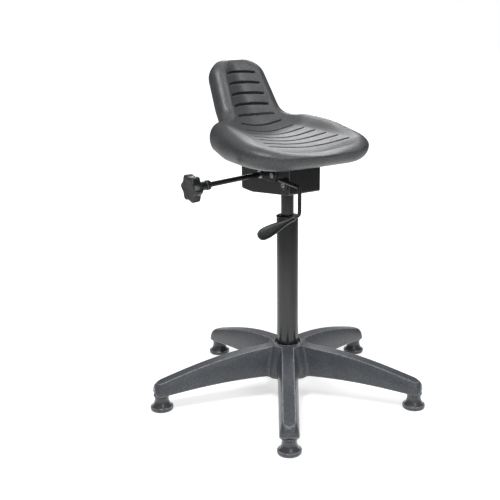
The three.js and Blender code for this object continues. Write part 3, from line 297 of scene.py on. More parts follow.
# Slow drift between two tones, and of the roughness
def makeDrift():
    look = dict(detail=3, band=(0.3, 0.7), middle=0.5)
    grey = (0.1, 0.1, 0.1, 1)
    group, start, end = newGroup("toneDrift", [
        ("Tone", "Color", grey), ("Other Tone", "Color", grey), ("Size", "Float", 14.0),
        ("Roughness", "Float", 0.5), ("Roughness Drift", "Float", 0.06),
    ], [("Color", "Color"), ("Roughness", "Float")])
    nodes = group.nodes
    coords = addNode(nodes, "TexCoord")
    noise = addNode(nodes, "TexNoise", {"Detail": look["detail"]})
    spread = mapRange(nodes, look["band"])
    mix = addNode(nodes, "Mix", data_type="RGBA")
    centre = addNode(nodes, "Math", {1: look["middle"]}, operation="SUBTRACT")
    roughness = addNode(nodes, "Math", operation="MULTIPLY_ADD")
    wire(group.links,
         (coords, "Object", noise, "Vector"), (start, "Size", noise, "Scale"),
         (noise, "Fac", spread, "Value"), (spread, "Result", mix, 0), (start, "Tone", mix, 6),
         (start, "Other Tone", mix, 7), (noise, "Fac", centre, 0), (centre, 0, roughness, 0),
         (start, "Roughness Drift", roughness, 1), (start, "Roughness", roughness, 2),
         (mix, 2, end, "Color"), (roughness, 0, end, "Roughness"))
    return group


# Mask of edges painted lighter, partly as wear and partly as a painted highlight, from the rounded normal
# against the true one, broken up by noise
def makeEdgeWearAndHighlight():
    look = dict(samples=4, turned=(0.995, 0.9), detail=3, patchBand=(0.3, 0.6), patches=(0.45, 1))
    group, start, end = newGroup("edgeWearAndHighlight", [("Width", "Float", 0.0012), ("Breakup", "Float", 120.0)],
                                 [("Mask", "Float")])
    nodes = group.nodes
    shape = addNode(nodes, "NewGeometry")
    rounded = addNode(nodes, "Bevel", samples=look["samples"])
    dot = addNode(nodes, "VectorMath", operation="DOT_PRODUCT")
    spread = mapRange(nodes, look["turned"])
    coords = addNode(nodes, "TexCoord")
    noise = addNode(nodes, "TexNoise", {"Detail": look["detail"]})
    patches = mapRange(nodes, look["patchBand"], look["patches"])
    product = addNode(nodes, "Math", operation="MULTIPLY")
    wire(group.links,
         (start, "Width", rounded, "Radius"), (shape, "Normal", dot, 0), (rounded, "Normal", dot, 1),
         (dot, "Value", spread, "Value"), (coords, "Object", noise, "Vector"),
         (start, "Breakup", noise, "Scale"), (noise, "Fac", patches, "Value"),
         (spread, "Result", product, 0), (patches, "Result", product, 1), (product, 0, end, "Mask"))
    return group


grainGroup = makeGrain()
driftGroup = makeDrift()
edgeWearAndHighlightGroup = makeEdgeWearAndHighlight()

# What a finish has unless it says otherwise
plainLook = dict(metallic=0.0, level=0.5, coat=0.0, coatRoughnessShare=0.7, pitBand=(0.35, 0.65))
# Each finish's edge tone and its share paint the edges lighter, partly as wear and partly as a painted
# highlight
finishes = {
    "seat_foam": dict(
        tone=(0.052, 0.055, 0.058), other=(0.062, 0.065, 0.069), drift=16, roughness=0.38,
        roughnessDrift=0.06, grain=1300, coarse=0.6, strength=0.50, depth=0.0008, pits=0.3,
        wearAndHighlight=0.6, wornAndHighlightTone=(0.26, 0.27, 0.28), width=0.0024, level=0.45),
    "base_nylon": dict(
        tone=(0.057, 0.063, 0.072), other=(0.070, 0.076, 0.086), drift=22, roughness=0.38,
        roughnessDrift=0.08, grain=1300, coarse=0.6, strength=0.55, depth=0.0008, pits=0.3,
        wearAndHighlight=1.0, wornAndHighlightTone=(0.42, 0.44, 0.47), width=0.0040),
    "glide_plastic": dict(
        tone=(0.050, 0.053, 0.058), other=(0.060, 0.063, 0.069), drift=30, roughness=0.28,
        roughnessDrift=0.06, grain=1100, coarse=0.4, strength=0.22, depth=0.0004, pits=0.2,
        wearAndHighlight=0.9, wornAndHighlightTone=(0.36, 0.37, 0.39), width=0.0026),
    "black_plastic": dict(
        tone=(0.010, 0.011, 0.012), other=(0.014, 0.015, 0.016), drift=30, roughness=0.28,
        roughnessDrift=0.06, grain=1300, coarse=0.4, strength=0.20, depth=0.0003, pits=0.2,
        wearAndHighlight=0.8, wornAndHighlightTone=(0.34, 0.34, 0.34), width=0.0026, level=0.36),
    "column_paint": dict(
        tone=(0.019, 0.020, 0.022), other=(0.024, 0.025, 0.027), drift=18, roughness=0.22,
        roughnessDrift=0.06, grain=900, coarse=0.2, strength=0.07, depth=0.0003, pits=0.12,
        wearAndHighlight=0.3, wornAndHighlightTone=(0.12, 0.12, 0.12), width=0.0008, level=0.42, coat=0.1),
    "black_steel": dict(
        tone=(0.009, 0.0095, 0.0105), other=(0.012, 0.0125, 0.0135), drift=20, roughness=0.28,
        roughnessDrift=0.06, grain=800, coarse=0.3, strength=0.09, depth=0.0003, pits=0.12,
        wearAndHighlight=0.9, wornAndHighlightTone=(0.42, 0.42, 0.42), width=0.0018, level=0.30),
    "plain_steel": dict(
        tone=(0.34, 0.34, 0.35), other=(0.42, 0.42, 0.42), drift=60, roughness=0.30,
        roughnessDrift=0.14, grain=2200, coarse=0.4, strength=0.10, depth=0.0002, pits=0.08,
        wearAndHighlight=0.4, wornAndHighlightTone=(0.75, 0.75, 0.74), width=0.0006, metallic=1.0),
    "black_rubber": dict(
        tone=(0.022, 0.022, 0.022), other=(0.030, 0.030, 0.030), drift=40, roughness=0.78,
        roughnessDrift=0.1, grain=1800, coarse=0.4, strength=0.2, depth=0.0004, pits=0.15,
        wearAndHighlight=0.2, wornAndHighlightTone=(0.06, 0.06, 0.06), width=0.001, level=0.35),
}


def makeFinish(slotName, look):
    material, nodes, links, shader = newMaterial(slotName)
    setValues(shader, {"Metallic": look["metallic"], "Specular IOR Level": look["level"],
                       "Coat Weight": look["coat"],
                       "Coat Roughness": look["roughness"] * look["coatRoughnessShare"]})
    drift = addNode(nodes, "Group", {
        "Tone": (*look["tone"], 1), "Other Tone": (*look["other"], 1), "Size": look["drift"],
        "Roughness": look["roughness"], "Roughness Drift": look["roughnessDrift"],
    }, node_tree=driftGroup)
    grain = addNode(nodes, "Group", {
        "Size": look["grain"], "Coarse Share": look["coarse"], "Strength": look["strength"],
        "Depth": look["depth"],
    }, node_tree=grainGroup)
    # Edges painted lighter: partly wear, partly a painted highlight
    wearAndHighlight = addNode(nodes, "Group", {"Width": look["width"]}, node_tree=edgeWearAndHighlightGroup)
    share = addNode(nodes, "Math", {1: look["wearAndHighlight"]}, operation="MULTIPLY")
    mix = addNode(nodes, "Mix", {7: (*look["wornAndHighlightTone"], 1)}, data_type="RGBA")
    # The grain's pits are darker than its tops: painted shade in the grain's hollows and painted light on its
    # tops
    pits = mapRange(nodes, look["pitBand"], (1 - look["pits"], 1 + look["pits"]))
    speckled = addNode(nodes, "VectorMath", operation="SCALE")
    wire(links,
         (wearAndHighlight, "Mask", share, 0), (share, 0, mix, 0), (drift, "Color", mix, 6),
         (grain, "Height", pits, "Value"), (mix, 2, speckled, 0), (pits, "Result", speckled, "Scale"),
         (speckled, 0, shader, "Base Color"), (drift, "Roughness", shader, "Roughness"),
         (grain, "Normal", shader, "Normal"))
    return material


finishMaterials = {slotName: makeFinish(slotName, {**plainLook, **look})
                   for slotName, look in finishes.items()}


# Raw plywood: face grain along Y and thin layers seen on the edges
def makePlywood():
    look = dict(light=(0.62, 0.45, 0.27, 1), dark=(0.42, 0.27, 0.14, 1), layer=0.0015, across=60, along=5,
                roughness=0.62, roughnessDrift=0.2, detail=5, strength=0.2, depth=0.0003)
    material, nodes, links, shader = newMaterial("board_wood")
    coords = addNode(nodes, "TexCoord")
    stretch = addNode(nodes, "Mapping", {"Scale": (look["across"], look["along"], 1 / look["layer"])})
    noise = addNode(nodes, "TexNoise", {"Scale": 1, "Detail": look["detail"]})
    mix = addNode(nodes, "Mix", {6: look["dark"], 7: look["light"]}, data_type="RGBA")
    rough = mapRange(nodes, (0, 1), (look["roughness"], look["roughness"] + look["roughnessDrift"]))
    bump = addNode(nodes, "Bump", {"Strength": look["strength"], "Distance": look["depth"]})
    wire(links,
         (coords, "Object", stretch, "Vector"), (stretch, "Vector", noise, "Vector"),
         (noise, "Fac", mix, 0), (noise, "Fac", rough, "Value"), (noise, "Fac", bump, "Height"),
         (mix, 2, shader, "Base Color"), (rough, "Result", shader, "Roughness"),
         (bump, "Normal", shader, "Normal"))
    return material


finishMaterials["board_wood"] = makePlywood()
print("materials ready")


# Gives a new piece its finish, its body and the CAD nodes that it stands for
def finishPiece(obj, body, slotName, *nodes):
    obj.data.materials.append(finishMaterials[slotName])
    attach(obj, body)
    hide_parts(*nodes)


# Seat cushion: a moulded shell along a profile that runs back over the seat and up the back
seat = dict(
    pitch=5.7, rise=0.0835, front=-0.139, half=0.167, frontRadius=0.088, frontSweep=0.005,
    sideHalf=0.159, sideMiddle=0.018, sideRadius=0.150,
    rearHalf=0.132, rear=0.110, rearRadius=0.0405,
    rootHalf=0.082, root=0.118, rootRadius=0.0328,
    backHalf=0.0655, backTop=0.266, backTopRadius=0.046,
    bendStart=0.054, bendRadius=0.110, backPitch=59, bendFadeStart=0.080, bendFadeEnd=0.124,
    dish=0.0095, backDish=0.0125, dishStart=0.100, dishEnd=0.160,
    rimLift=0.010, frontFall=0.012, frontFallStart=-0.080, rimWidth=0.026,
    equator=0.015, backEquator=0.016, depth=0.0465, backDepth=0.042, depthStart=0.074, depthEnd=0.170,
    frontInset=0.033, sideInset=0.018, backInset=0.009,
    grooveHalfWidth=0.0027, grooveDepth=0.0085, grooveLip=0.0008, grooveFloorShare=0.35,
    grooves=7, grooveStart=-0.080, groovePitch=0.0292,
    backGrooves=5, backGrooveStart=0.120, backGroovePitch=0.0265, backGrooveBow=0.009,
    frontGrooveHalf=0.105, rootGrooveHalf=0.049, topGrooveHalf=0.038,
    frontShare=0.2, topShare=0.11, acrossSteps=90, alongSteps=470, upperSteps=14, lowerSteps=9,
    cornerSteps=90, slopeStep=0.0006,
    boardHalf=0.0803, boardFront=-0.0883, boardRear=0.0743, boardCorner=0.0163, boardTop=0.0093,
    fillAcross=(-0.15, 0.151), fillAlong=(-0.125, 0.255), fillStep=0.0125, fillMargin=0.004,
)
seatPlace = (Matrix.Translation((0, 0, tiltPivot.z + seat["rise"]))
             @ Matrix.Rotation(seat["pitch"] * deg, 4, "X"))


def grooveHalf(v):
    s = seat
    front = blendTo(s["frontGrooveHalf"], s["rootGrooveHalf"],
                    (v - s["grooveStart"]) / (s["backGrooveStart"] - s["grooveStart"]))
    last = s["backGrooveStart"] + (s["backGrooves"] - 1) * s["backGroovePitch"]
    back = blendTo(s["rootGrooveHalf"], s["topGrooveHalf"],
                   (v - s["backGrooveStart"]) / (last - s["backGrooveStart"]))
    return np.where(v < s["backGrooveStart"], front, back)


def faceHeight(u, v):
    s = seat
    half = grooveHalf(v)
    depth = blendTo(s["dish"], s["backDish"], fade(v, s["dishStart"], s["dishEnd"]))
    dish = depth * (1 - 2 * np.power(2.0, -((u / half) ** 2)))
    front = np.maximum((s["frontFallStart"] - v) / (s["frontFallStart"] - s["front"]), 0)
    side = (fade(np.abs(u), half, s["bendFadeEnd"])
            * fade(v, s["frontFallStart"], s["bendStart"]))
    lift = s["rimLift"] * side * (1 - fade(v, s["rear"], s["backGrooveStart"] + s["backGroovePitch"]))
    return dish + lift - s["frontFall"] * front ** 2


# Depth of the channels at a place on the seat's face, with rounded ends and lips
def grooveDepth(u, v):
    s = seat
    depth = np.zeros_like(u)
    rows = [(s["grooveStart"] + i * s["groovePitch"], 0) for i in range(s["grooves"])]
    rows += [(s["backGrooveStart"] + i * s["backGroovePitch"], s["backGrooveBow"])
             for i in range(s["backGrooves"])]
    for middle, bow in rows:
        half = float(grooveHalf(np.array(middle))) - s["grooveHalfWidth"]
        inside = np.clip(u, -half, half)
        line = middle + bow * (1 - (inside / half) ** 2)
        away = np.hypot(u - inside, v - line)
        wall = 1 - fade(away, s["grooveHalfWidth"] * s["grooveFloorShare"],
                        s["grooveHalfWidth"] + s["grooveLip"])
        depth = np.maximum(depth, s["grooveDepth"] * wall)
    return depth


def equatorHeight(v):
    return -blendTo(seat["equator"], seat["backEquator"], fade(v, seat["depthStart"], seat["depthEnd"]))


def undersideHeight(v):
    return -blendTo(seat["depth"], seat["backDepth"], fade(v, seat["depthStart"], seat["depthEnd"]))


def lowerInset(v):
    s = seat
    inset = blendTo(s["frontInset"], s["sideInset"], fade(v, s["frontFallStart"], s["sideMiddle"]))
    return blendTo(inset, s["backInset"], fade(v, s["depthStart"], s["depthEnd"]))


def seatPoints(u, v, h):
    s = seat
    full = (s["backPitch"] - s["pitch"]) * deg
    length = s["bendRadius"] * full
    turn = full * (1 - fade(np.abs(u), s["bendFadeStart"], s["bendFadeEnd"]))
    bent = np.clip(v - s["bendStart"], 0, length)
    beyond = np.maximum(v - s["bendStart"] - length, 0)
    angle = turn * bent / length
    chord = bent * np.sinc(angle / 2 / math.pi)
    y = np.minimum(v, s["bendStart"]) + chord * np.cos(angle / 2) + beyond * np.cos(turn)
    z = chord * np.sin(angle / 2) + beyond * np.sin(turn)
    return np.stack([u, y - h * np.sin(angle), z + h * np.cos(angle)], -1)


# The seat's outline in u and v: points spaced as the four sides of the face need, with normals
def seatOutline():
    s = seat
    half = [(s["half"], s["front"] + s["frontSweep"], s["frontRadius"]),
            (s["sideHalf"], s["sideMiddle"], s["sideRadius"]), (s["rearHalf"], s["rear"], s["rearRadius"]),
            (s["rootHalf"], s["root"], s["rootRadius"]), (s["backHalf"], s["backTop"], s["backTopRadius"])]
    corners = [(0, s["front"], 0), *half, (0, s["backTop"], 0), *[(-x, y, r) for x, y, r in reversed(half)]]
    path = np.array(softProfile(corners, steps=s["cornerSteps"]))
    lengths = np.concatenate([[0], np.cumsum(np.linalg.norm(np.diff(path, axis=0), axis=1))])
    side = [s["frontShare"] / 2, (1 - s["topShare"]) / 2]
    runs = [(-side[0], side[0], s["acrossSteps"]), (side[0], side[1], s["alongSteps"]),
            (side[1], 1 - side[1], s["acrossSteps"]), (1 - side[1], 1 - side[0], s["alongSteps"])]
    places = np.concatenate([np.linspace(a, b, n, endpoint=False) for a, b, n in runs]) % 1

    def at(share):
        length = (share % 1) * lengths[-1]
        return np.stack([np.interp(length, lengths, path[:, 0]), np.interp(length, lengths, path[:, 1])], 1)

    tangent = at(places + s["slopeStep"]) - at(places - s["slopeStep"])
    tangent /= np.linalg.norm(tangent, axis=1)[:, None]
    return at(places), np.stack([tangent[:, 1], -tangent[:, 0]], 1)


# Rows of points that fill a closed loop and follow its four sides
def fillLoop(loop):
    across, along = seat["acrossSteps"], seat["alongSteps"]
    front = loop[:across + 1]
    right = loop[across:across + along + 1]
    back = loop[across + along:2 * across + along + 1][::-1]
    left = np.concatenate([loop[2 * across + along:], loop[:1]])[::-1]
    s = np.linspace(0, 1, across + 1)[None, :, None]
    t = np.linspace(0, 1, along + 1)[:, None, None]
    edges = front[None] * (1 - t) + back[None] * t + left[:, None] * (1 - s) + right[:, None] * s
    ends = (front[0] * (1 - s) * (1 - t) + front[-1] * s * (1 - t)
            + back[0] * (1 - s) * t + back[-1] * s * t)
    return edges - ends


def makeSeatCushion():
    s = seat
    outline, normal = seatOutline()
    count = len(outline)
    across, along = s["acrossSteps"], s["alongSteps"]

    def inset(distance):
        return outline - normal * np.broadcast_to(distance, count)[:, None]

    inner = inset(s["rimWidth"])
    rimTop = faceHeight(inner[:, 0], inner[:, 1])
    rings = []
    for k in range(s["upperSteps"] + 1):
        turn = math.pi / 2 * k / s["upperSteps"]
        p = inset(s["rimWidth"] * (1 - math.sin(turn)))
        rings.append(seatPoints(p[:, 0], p[:, 1], blendTo(equatorHeight(p[:, 1]), rimTop, math.cos(turn))))
    for k in range(1, s["lowerSteps"] + 1):
        turn = math.pi / 2 * k / s["lowerSteps"]
        p = inset(lowerInset(outline[:, 1]) * (1 - math.cos(turn)))
        height = blendTo(equatorHeight(p[:, 1]), undersideHeight(p[:, 1]), math.sin(turn))
        rings.append(seatPoints(p[:, 0], p[:, 1], height))
    points = [p for ring in rings for p in ring]
    faces = []
    for k in range(len(rings) - 1):
        faces += [tuple(reversed(face)) for face in bridge(k * count, (k + 1) * count, count)]

    # The upper face, with its channels
    grid = fillLoop(inner)
    u, v = grid[..., 0], grid[..., 1]
    top = seatPoints(u, v, faceHeight(u, v) - grooveDepth(u, v))
    index = np.zeros((along + 1, across + 1), int)
    index[0] = np.arange(across + 1)
    index[:, across] = across + np.arange(along + 1)
    index[along] = 2 * across + along - np.arange(across + 1)
    index[:, 0] = (2 * across + 2 * along - np.arange(along + 1)) % count
    start = len(points)
    index[1:-1, 1:-1] = start + np.arange((along - 1) * (across - 1)).reshape(along - 1, across - 1)
    points.extend(top[1:-1, 1:-1].reshape(-1, 3))
    quads = np.stack([index[:-1, :-1], index[:-1, 1:], index[1:, 1:], index[1:, :-1]], -1)
    faces += [tuple(q) for q in quads.reshape(-1, 4)]

    # The underside, open where the plywood board is set in
    lower = inset(lowerInset(outline[:, 1]))
    bendShare = s["bendRadius"] / (s["bendRadius"] + s["depth"])
    rearV = s["bendStart"] + (s["boardRear"] - s["bendStart"]) * bendShare
    corners = [(side * s["boardHalf"], s[end], s["boardCorner"]) for side, end in
               ((-1, "boardFront"), (1, "boardFront"), (1, "boardRear"), (-1, "boardRear"))]
    mouth = np.array(softProfile(corners, steps=8)[:-1])
    bentV = s["bendStart"] + (mouth[:, 1] - s["bendStart"]) * bendShare
    mouthPlan = np.stack([mouth[:, 0], np.where(mouth[:, 1] > s["bendStart"], bentV, mouth[:, 1])], 1)
    holes, margin = len(mouth), s["fillMargin"]

    def besideMouth(u, v):
        return abs(u) >= s["boardHalf"] + margin or not s["boardFront"] - margin < v < rearV + margin

    def onUnderside(p):
        return seatPoints(p[:, 0], p[:, 1], undersideHeight(p[:, 1]))

    spots = [(u, v) for u in np.arange(*s["fillAcross"], s["fillStep"])
             for v in np.arange(*s["fillAlong"], s["fillStep"])
             if insideLoop((u, v), lower, margin) and besideMouth(u, v)]
    mouthStart = len(points)
    points.extend(onUnderside(mouthPlan))
    fillPlan(points, faces, [lower, mouthPlan], [(len(rings) - 1) * count, mouthStart], spots, onUnderside)
    roofStart = len(points)
    points.extend([(x, y, -s["depth"] + s["boardTop"]) for x, y in mouth])
    faces += bridge(mouthStart, roofStart, holes)
    faces.append(tuple(roofStart + i for i in range(holes)))
    obj = addMesh("seat_cushion", points, faces, seatPlace, sharpAngle=60)
    finishPiece(obj, "seat", "seat_foam", "seat_shell")


makeSeatCushion()
print("seat cushion ready")

# Base: five legs that run out of one hub
base = dict(
    legs=5, footCircle=0.294, tipReach=0.017, hubTop=0.124, hubBottom=0.050, hubRadius=0.058,
    rootTop=0.122, tipTop=0.065, crown=0.012, rootBottom=0.051, tipBottom=0.036, arch=0.008,
    topBlend=(0.034, 0.047), bottomBlend=(0.040, 0.062),    # where hub and leg run together
    topHalf=0.0130, edge=0.0008, tipHalf=0.0205, rootHalf=0.0235, rootSwell=0.0006, topReach=0.0095,
    sideShares=(0.04, 0.10, 0.18, 0.28, 0.42, 0.60, 0.80), sidePower=2.2,
    noseShare=0.6, noseRoundShare=0.96, noseCorner=0.0120, noseDraft=0.0006,
    skirtHeight=0.0045, skirtCorner=0.0105, footCorner=0.0095, footDraft=0.0025,
    hubTopRadius=0.041, rootFillet=0.15, hubRound=0.56,
    crownStart=0.044, crownEnd=0.279, crownStep=0.0085,
    pocketWall=0.005, pocketRoof=0.014, pocketStart=0.047, pocketEnd=0.268, pocketCorner=0.006,
    pocketEase=0.001, pocketRoundShare=0.98, pocketSteps=20, pocketCornerSteps=6,
    boreTop=0.0305, boreShoulder=0.0275, boreBottom=0.0264, boreShoulderZ=0.119, boreSides=60,
)
legTurn = 360 / base["legs"]
legAngles = [legTurn * i + legTurn / 2 - 90 for i in range(base["legs"])]


def legTop(x):
    s = x / base["footCircle"]
    top = blendTo(base["rootTop"], base["tipTop"], s) + base["crown"] * np.sin(math.pi * s)
    return blendTo(base["hubTop"], top, fade(x, *base["topBlend"]))


def legBottom(x):
    s = np.clip(x / base["footCircle"], 0, 1)
    bottom = blendTo(base["rootBottom"], base["tipBottom"], s) + base["arch"] * np.sin(math.pi * s)
    return blendTo(base["hubBottom"], bottom, fade(x, *base["bottomBlend"]))


# How far a place lies along the leg that it belongs to
def alongLeg(points):
    angle = np.arctan2(points[:, 1], points[:, 0])
    away = (angle[:, None] - np.array(legAngles) * deg + math.pi) % (2 * math.pi) - math.pi
    return np.hypot(points[:, 0], points[:, 1]) * np.cos(np.min(np.abs(away), axis=1))


# The star's outline at one level: half width at root and tip, reach, tip corner and hub radius
def starLoop(rootHalf, tipHalf, reach, tipRadius, hubRadius, arcSteps=8, sideSteps=22):
    taper = (rootHalf - tipHalf) / reach
    side = math.asin(rootHalf / hubRadius)
    for _ in range(3):
        side = math.asin((rootHalf - taper * hubRadius * math.cos(side)) / hubRadius)
    root = Vector((math.cos(side), math.sin(side))) * hubRadius
    middle = hubRadius / math.cos(legTurn / 2 * deg - side)
    fillet, hubRound = hubRadius * base["rootFillet"], hubRadius * base["hubRound"]
    # Corners of a leg: two at its tip, its root, the hub halfway to the next leg, and that leg's root
    corners = [(0, (reach, -tipHalf), tipRadius), (0, (reach, tipHalf), tipRadius), (0, root, fillet),
               (legTurn / 2, (middle, 0), hubRound), (legTurn, (root.x, -root.y), fillet)]
    loop = [(*(Matrix.Rotation((angle + turn) * deg, 2) @ Vector(corner)), radius)
            for angle in legAngles for turn, corner, radius in corners]
    runs = np.array(softProfile(loop, steps=arcSteps)[:-1]).reshape(len(loop), arcSteps + 1, 2)
    counts = [1, sideSteps, 2, 2, sideSteps]      # tip, in along the leg, round the hub, out along the next
    out = []
    for i, run in enumerate(runs):
        after = runs[(i + 1) % len(runs)][0]
        steps = counts[i % len(counts)]
        out.append(run)
        out.append(run[-1] + (after - run[-1]) * (np.arange(1, steps) / steps)[:, None])
    return np.concatenate(out)


def circleLoop(radius):
    angles = turnsOf(base["boreSides"])
    return np.stack([radius * np.cos(angles), radius * np.sin(angles)], 1)


# Levels of the star from its top face down: the five values of starLoop, then how its height is found
def starRings():
    b = base
    edge, swell = b["edge"], b["rootSwell"]
    tip = b["footCircle"] + b["tipReach"]
    topEnd = b["footCircle"] + b["topReach"]
    rings = []
    for turn in (0, 30, 60, 90):
        drop, back = roundOff(edge, turn)
        half = b["topHalf"] - back
        rings.append((half + swell, half, topEnd - back, half * b["noseRoundShare"],
                      b["hubTopRadius"] - back, "top", drop))
    for share in b["sideShares"]:
        wide = 1 - (1 - share) ** b["sidePower"]
        nose = min(share / b["noseShare"], 1)
        rings.append((blendTo(b["topHalf"] + swell, b["rootHalf"], wide),
                      blendTo(b["topHalf"], b["tipHalf"], wide),
                      blendTo(topEnd, tip - b["noseDraft"], math.sqrt(1 - (1 - nose) ** 2)),
                      blendTo(b["topHalf"] * b["noseRoundShare"], b["noseCorner"], nose),
                      blendTo(b["hubTopRadius"], b["hubRadius"], wide), "side", share))
    rings.append((b["rootHalf"], b["tipHalf"], tip, b["skirtCorner"], b["hubRadius"],
                  "bottom", b["skirtHeight"]))
    for turn in (0, 45, 90):
        back, lift = roundOff(edge, turn)
        rings.append((b["rootHalf"] - back, b["tipHalf"] - back, tip - b["footDraft"] - back,
                      b["footCorner"] - back, b["hubRadius"] - back, "bottom", lift))
    return rings


def ringHeight(x, level, value):
    top, bottom = legTop(x), legBottom(x)
    if level == "top":
        return top - value
    if level == "bottom":
        return bottom + value
    return blendTo(top - base["edge"], bottom + base["skirtHeight"], value)


def makeStarBase():
    b = base
    points, faces = [], []

    def addLoop(loop, z):
        points.extend(np.column_stack([loop, np.broadcast_to(z, len(loop))]))
        return len(points) - len(loop)

    loops, starts = [], []
    for *outline, level, value in starRings():
        loop = starLoop(*outline)
        starts.append(addLoop(loop, ringHeight(alongLeg(loop), level, value)))
        loops.append(loop)
    for upper, lower in zip(starts, starts[1:]):
        faces += [tuple(reversed(face)) for face in bridge(upper, lower, len(loops[0]))]

    # Bore for the sleeve and tube
    bore = [(b["boreTop"], b["hubTop"]), (b["boreShoulder"], b["boreShoulderZ"]),
            (b["boreBottom"], b["hubBottom"])]
    boreStarts = [addLoop(circleLoop(radius), z) for radius, z in bore]
    for upper, lower in zip(boreStarts, boreStarts[1:]):
        faces += bridge(upper, lower, b["boreSides"])

    # Top face, with extra points that carry the legs' crown
    spots = []
    for angle in legAngles:
        turn = Matrix.Rotation(angle * deg, 2)
        for x in np.arange(b["crownStart"], b["crownEnd"], b["crownStep"]):
            spots += [tuple(turn @ Vector((x, side * b["crownStep"]))) for side in (-1, 0, 1)]
    fillPlan(points, faces, [loops[0], circleLoop(b["boreTop"])], [starts[0], boreStarts[0]], spots,
             lambda p: np.column_stack([p, legTop(alongLeg(p))]), upward=True)

    # Underside, with a pocket in each leg
    wall, corner, first, last = b["pocketWall"], b["pocketCorner"], b["pocketStart"], b["pocketEnd"]
    ends = corner * (1 - np.cos(np.linspace(0, 90, b["pocketCornerSteps"]) * deg))
    middles = np.linspace(first + corner, last - corner, b["pocketSteps"])[1:-1]
    x = np.concatenate([first + ends, middles, last - ends[::-1]])
    lost = corner - np.minimum(np.minimum(x - first, last - x), corner)
    rounding = corner - np.sqrt(corner ** 2 - lost ** 2) * b["pocketRoundShare"]
    legReach = b["footCircle"] + b["tipReach"]
    mouthHalf = blendTo(b["rootHalf"], b["tipHalf"], x / legReach) - wall - rounding
    roofHalf = np.minimum(mouthHalf, b["topHalf"] - wall + b["pocketEase"] - rounding)
    roofZ = np.maximum(legTop(x) - b["pocketRoof"], legBottom(x) + wall)
    stations = len(x)
    pocketLoops, pocketStarts = [], []
    for angle in legAngles:
        turn = np.array(Matrix.Rotation(angle * deg, 2))
        mouth, roof = (np.concatenate([np.stack([x, -half], 1), np.stack([x, half], 1)[::-1]]) @ turn.T
                       for half in (mouthHalf, roofHalf))
        start = addLoop(mouth, np.concatenate([legBottom(x), legBottom(x)[::-1]]))
        roofStart = addLoop(roof, np.concatenate([roofZ, roofZ[::-1]]))
        faces += bridge(start, roofStart, 2 * stations)
        faces += [(roofStart + i, roofStart + i + 1, roofStart + 2 * stations - 2 - i,
                   roofStart + 2 * stations - 1 - i) for i in range(stations - 1)]
        pocketLoops.append(mouth)
        pocketStarts.append(start)
    fillPlan(points, faces, [loops[-1], circleLoop(b["boreBottom"]), *pocketLoops],
             [starts[-1], boreStarts[-1], *pocketStarts])
    obj = addMesh("star_base", points, faces, sharpAngle=30)
    finishPiece(obj, "base", "base_nylon", "five_star_base")


makeStarBase()

# Glides. Foot and rim are measured from the pad, the rest from the neck and from the collar's top
glide = dict(pad=0.025, padHeight=0.008, neck=0.0155, collar=0.0176, collarHeight=0.005, top=0.0357,
             centre=0.0001, flareTop=0.0240, flarePower=1.7, flareSteps=10, sides=72,
             foot=((-0.0025, 0), (-0.0007, 0.0007), (0, 0.0022)),
             rim=((0, -0.0012), (-0.0004, -0.0003), (-0.0013, 0), (-0.0024, -0.0002), (-0.0030, 0.0003)),
             neckEnd=((0, -0.0012), (0.0006, 0)),
             collarEdge=((-0.0005, -0.0036), (0, -0.0030), (0, -0.0006), (-0.0006, 0)))


def makeGlides():
    g = glide
    profile = [(g["centre"], 0)]
    profile += [(g["pad"] + out, up) for out, up in g["foot"]]
    profile += [(g["pad"] + out, g["padHeight"] + up) for out, up in g["rim"]]
    rimRadius, rimTop = profile[-1]
    for k in range(1, g["flareSteps"] + 1):
        share = k / g["flareSteps"]
        profile.append((blendTo(g["neck"], rimRadius, (1 - share) ** g["flarePower"]),
                        blendTo(rimTop, g["flareTop"], share)))
    profile += [(g["neck"] + out, g["top"] - g["collarHeight"] + up) for out, up in g["neckEnd"]]
    profile += [(g["collar"] + out, g["top"] + up) for out, up in g["collarEdge"]]
    profile.append((g["centre"], g["top"]))
    for i in range(base["legs"]):
        low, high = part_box(f"glide_{i + 1}")
        place = Matrix.Translation(((low.x + high.x) / 2 - columnPlace.x,
                                    (low.y + high.y) / 2 - columnPlace.y, 0))
        obj = lathe(f"glide_foot_{i + 1}", profile, g["sides"], place, sharpAngle=50)
        finishPiece(obj, "base", "glide_plastic", f"glide_{i + 1}")


makeGlides()
print("base ready")

# Gas column: outer tube, guide bush, cylinder and the sleeve in the hub
column = dict(radius=0.024, wall=0.002, footRadius=0.0228, floor=0.003, rodHole=0.0043,
              bushFlange=0.0035, bushLip=0.001, bushDepth=0.072, clearance=0.0003,
              cylinderRadius=0.014, cylinderInner=0.012, tipRadius=0.0131, taper=0.035, cap=0.045,
              pinHole=0.0035, sleeveWall=0.003)


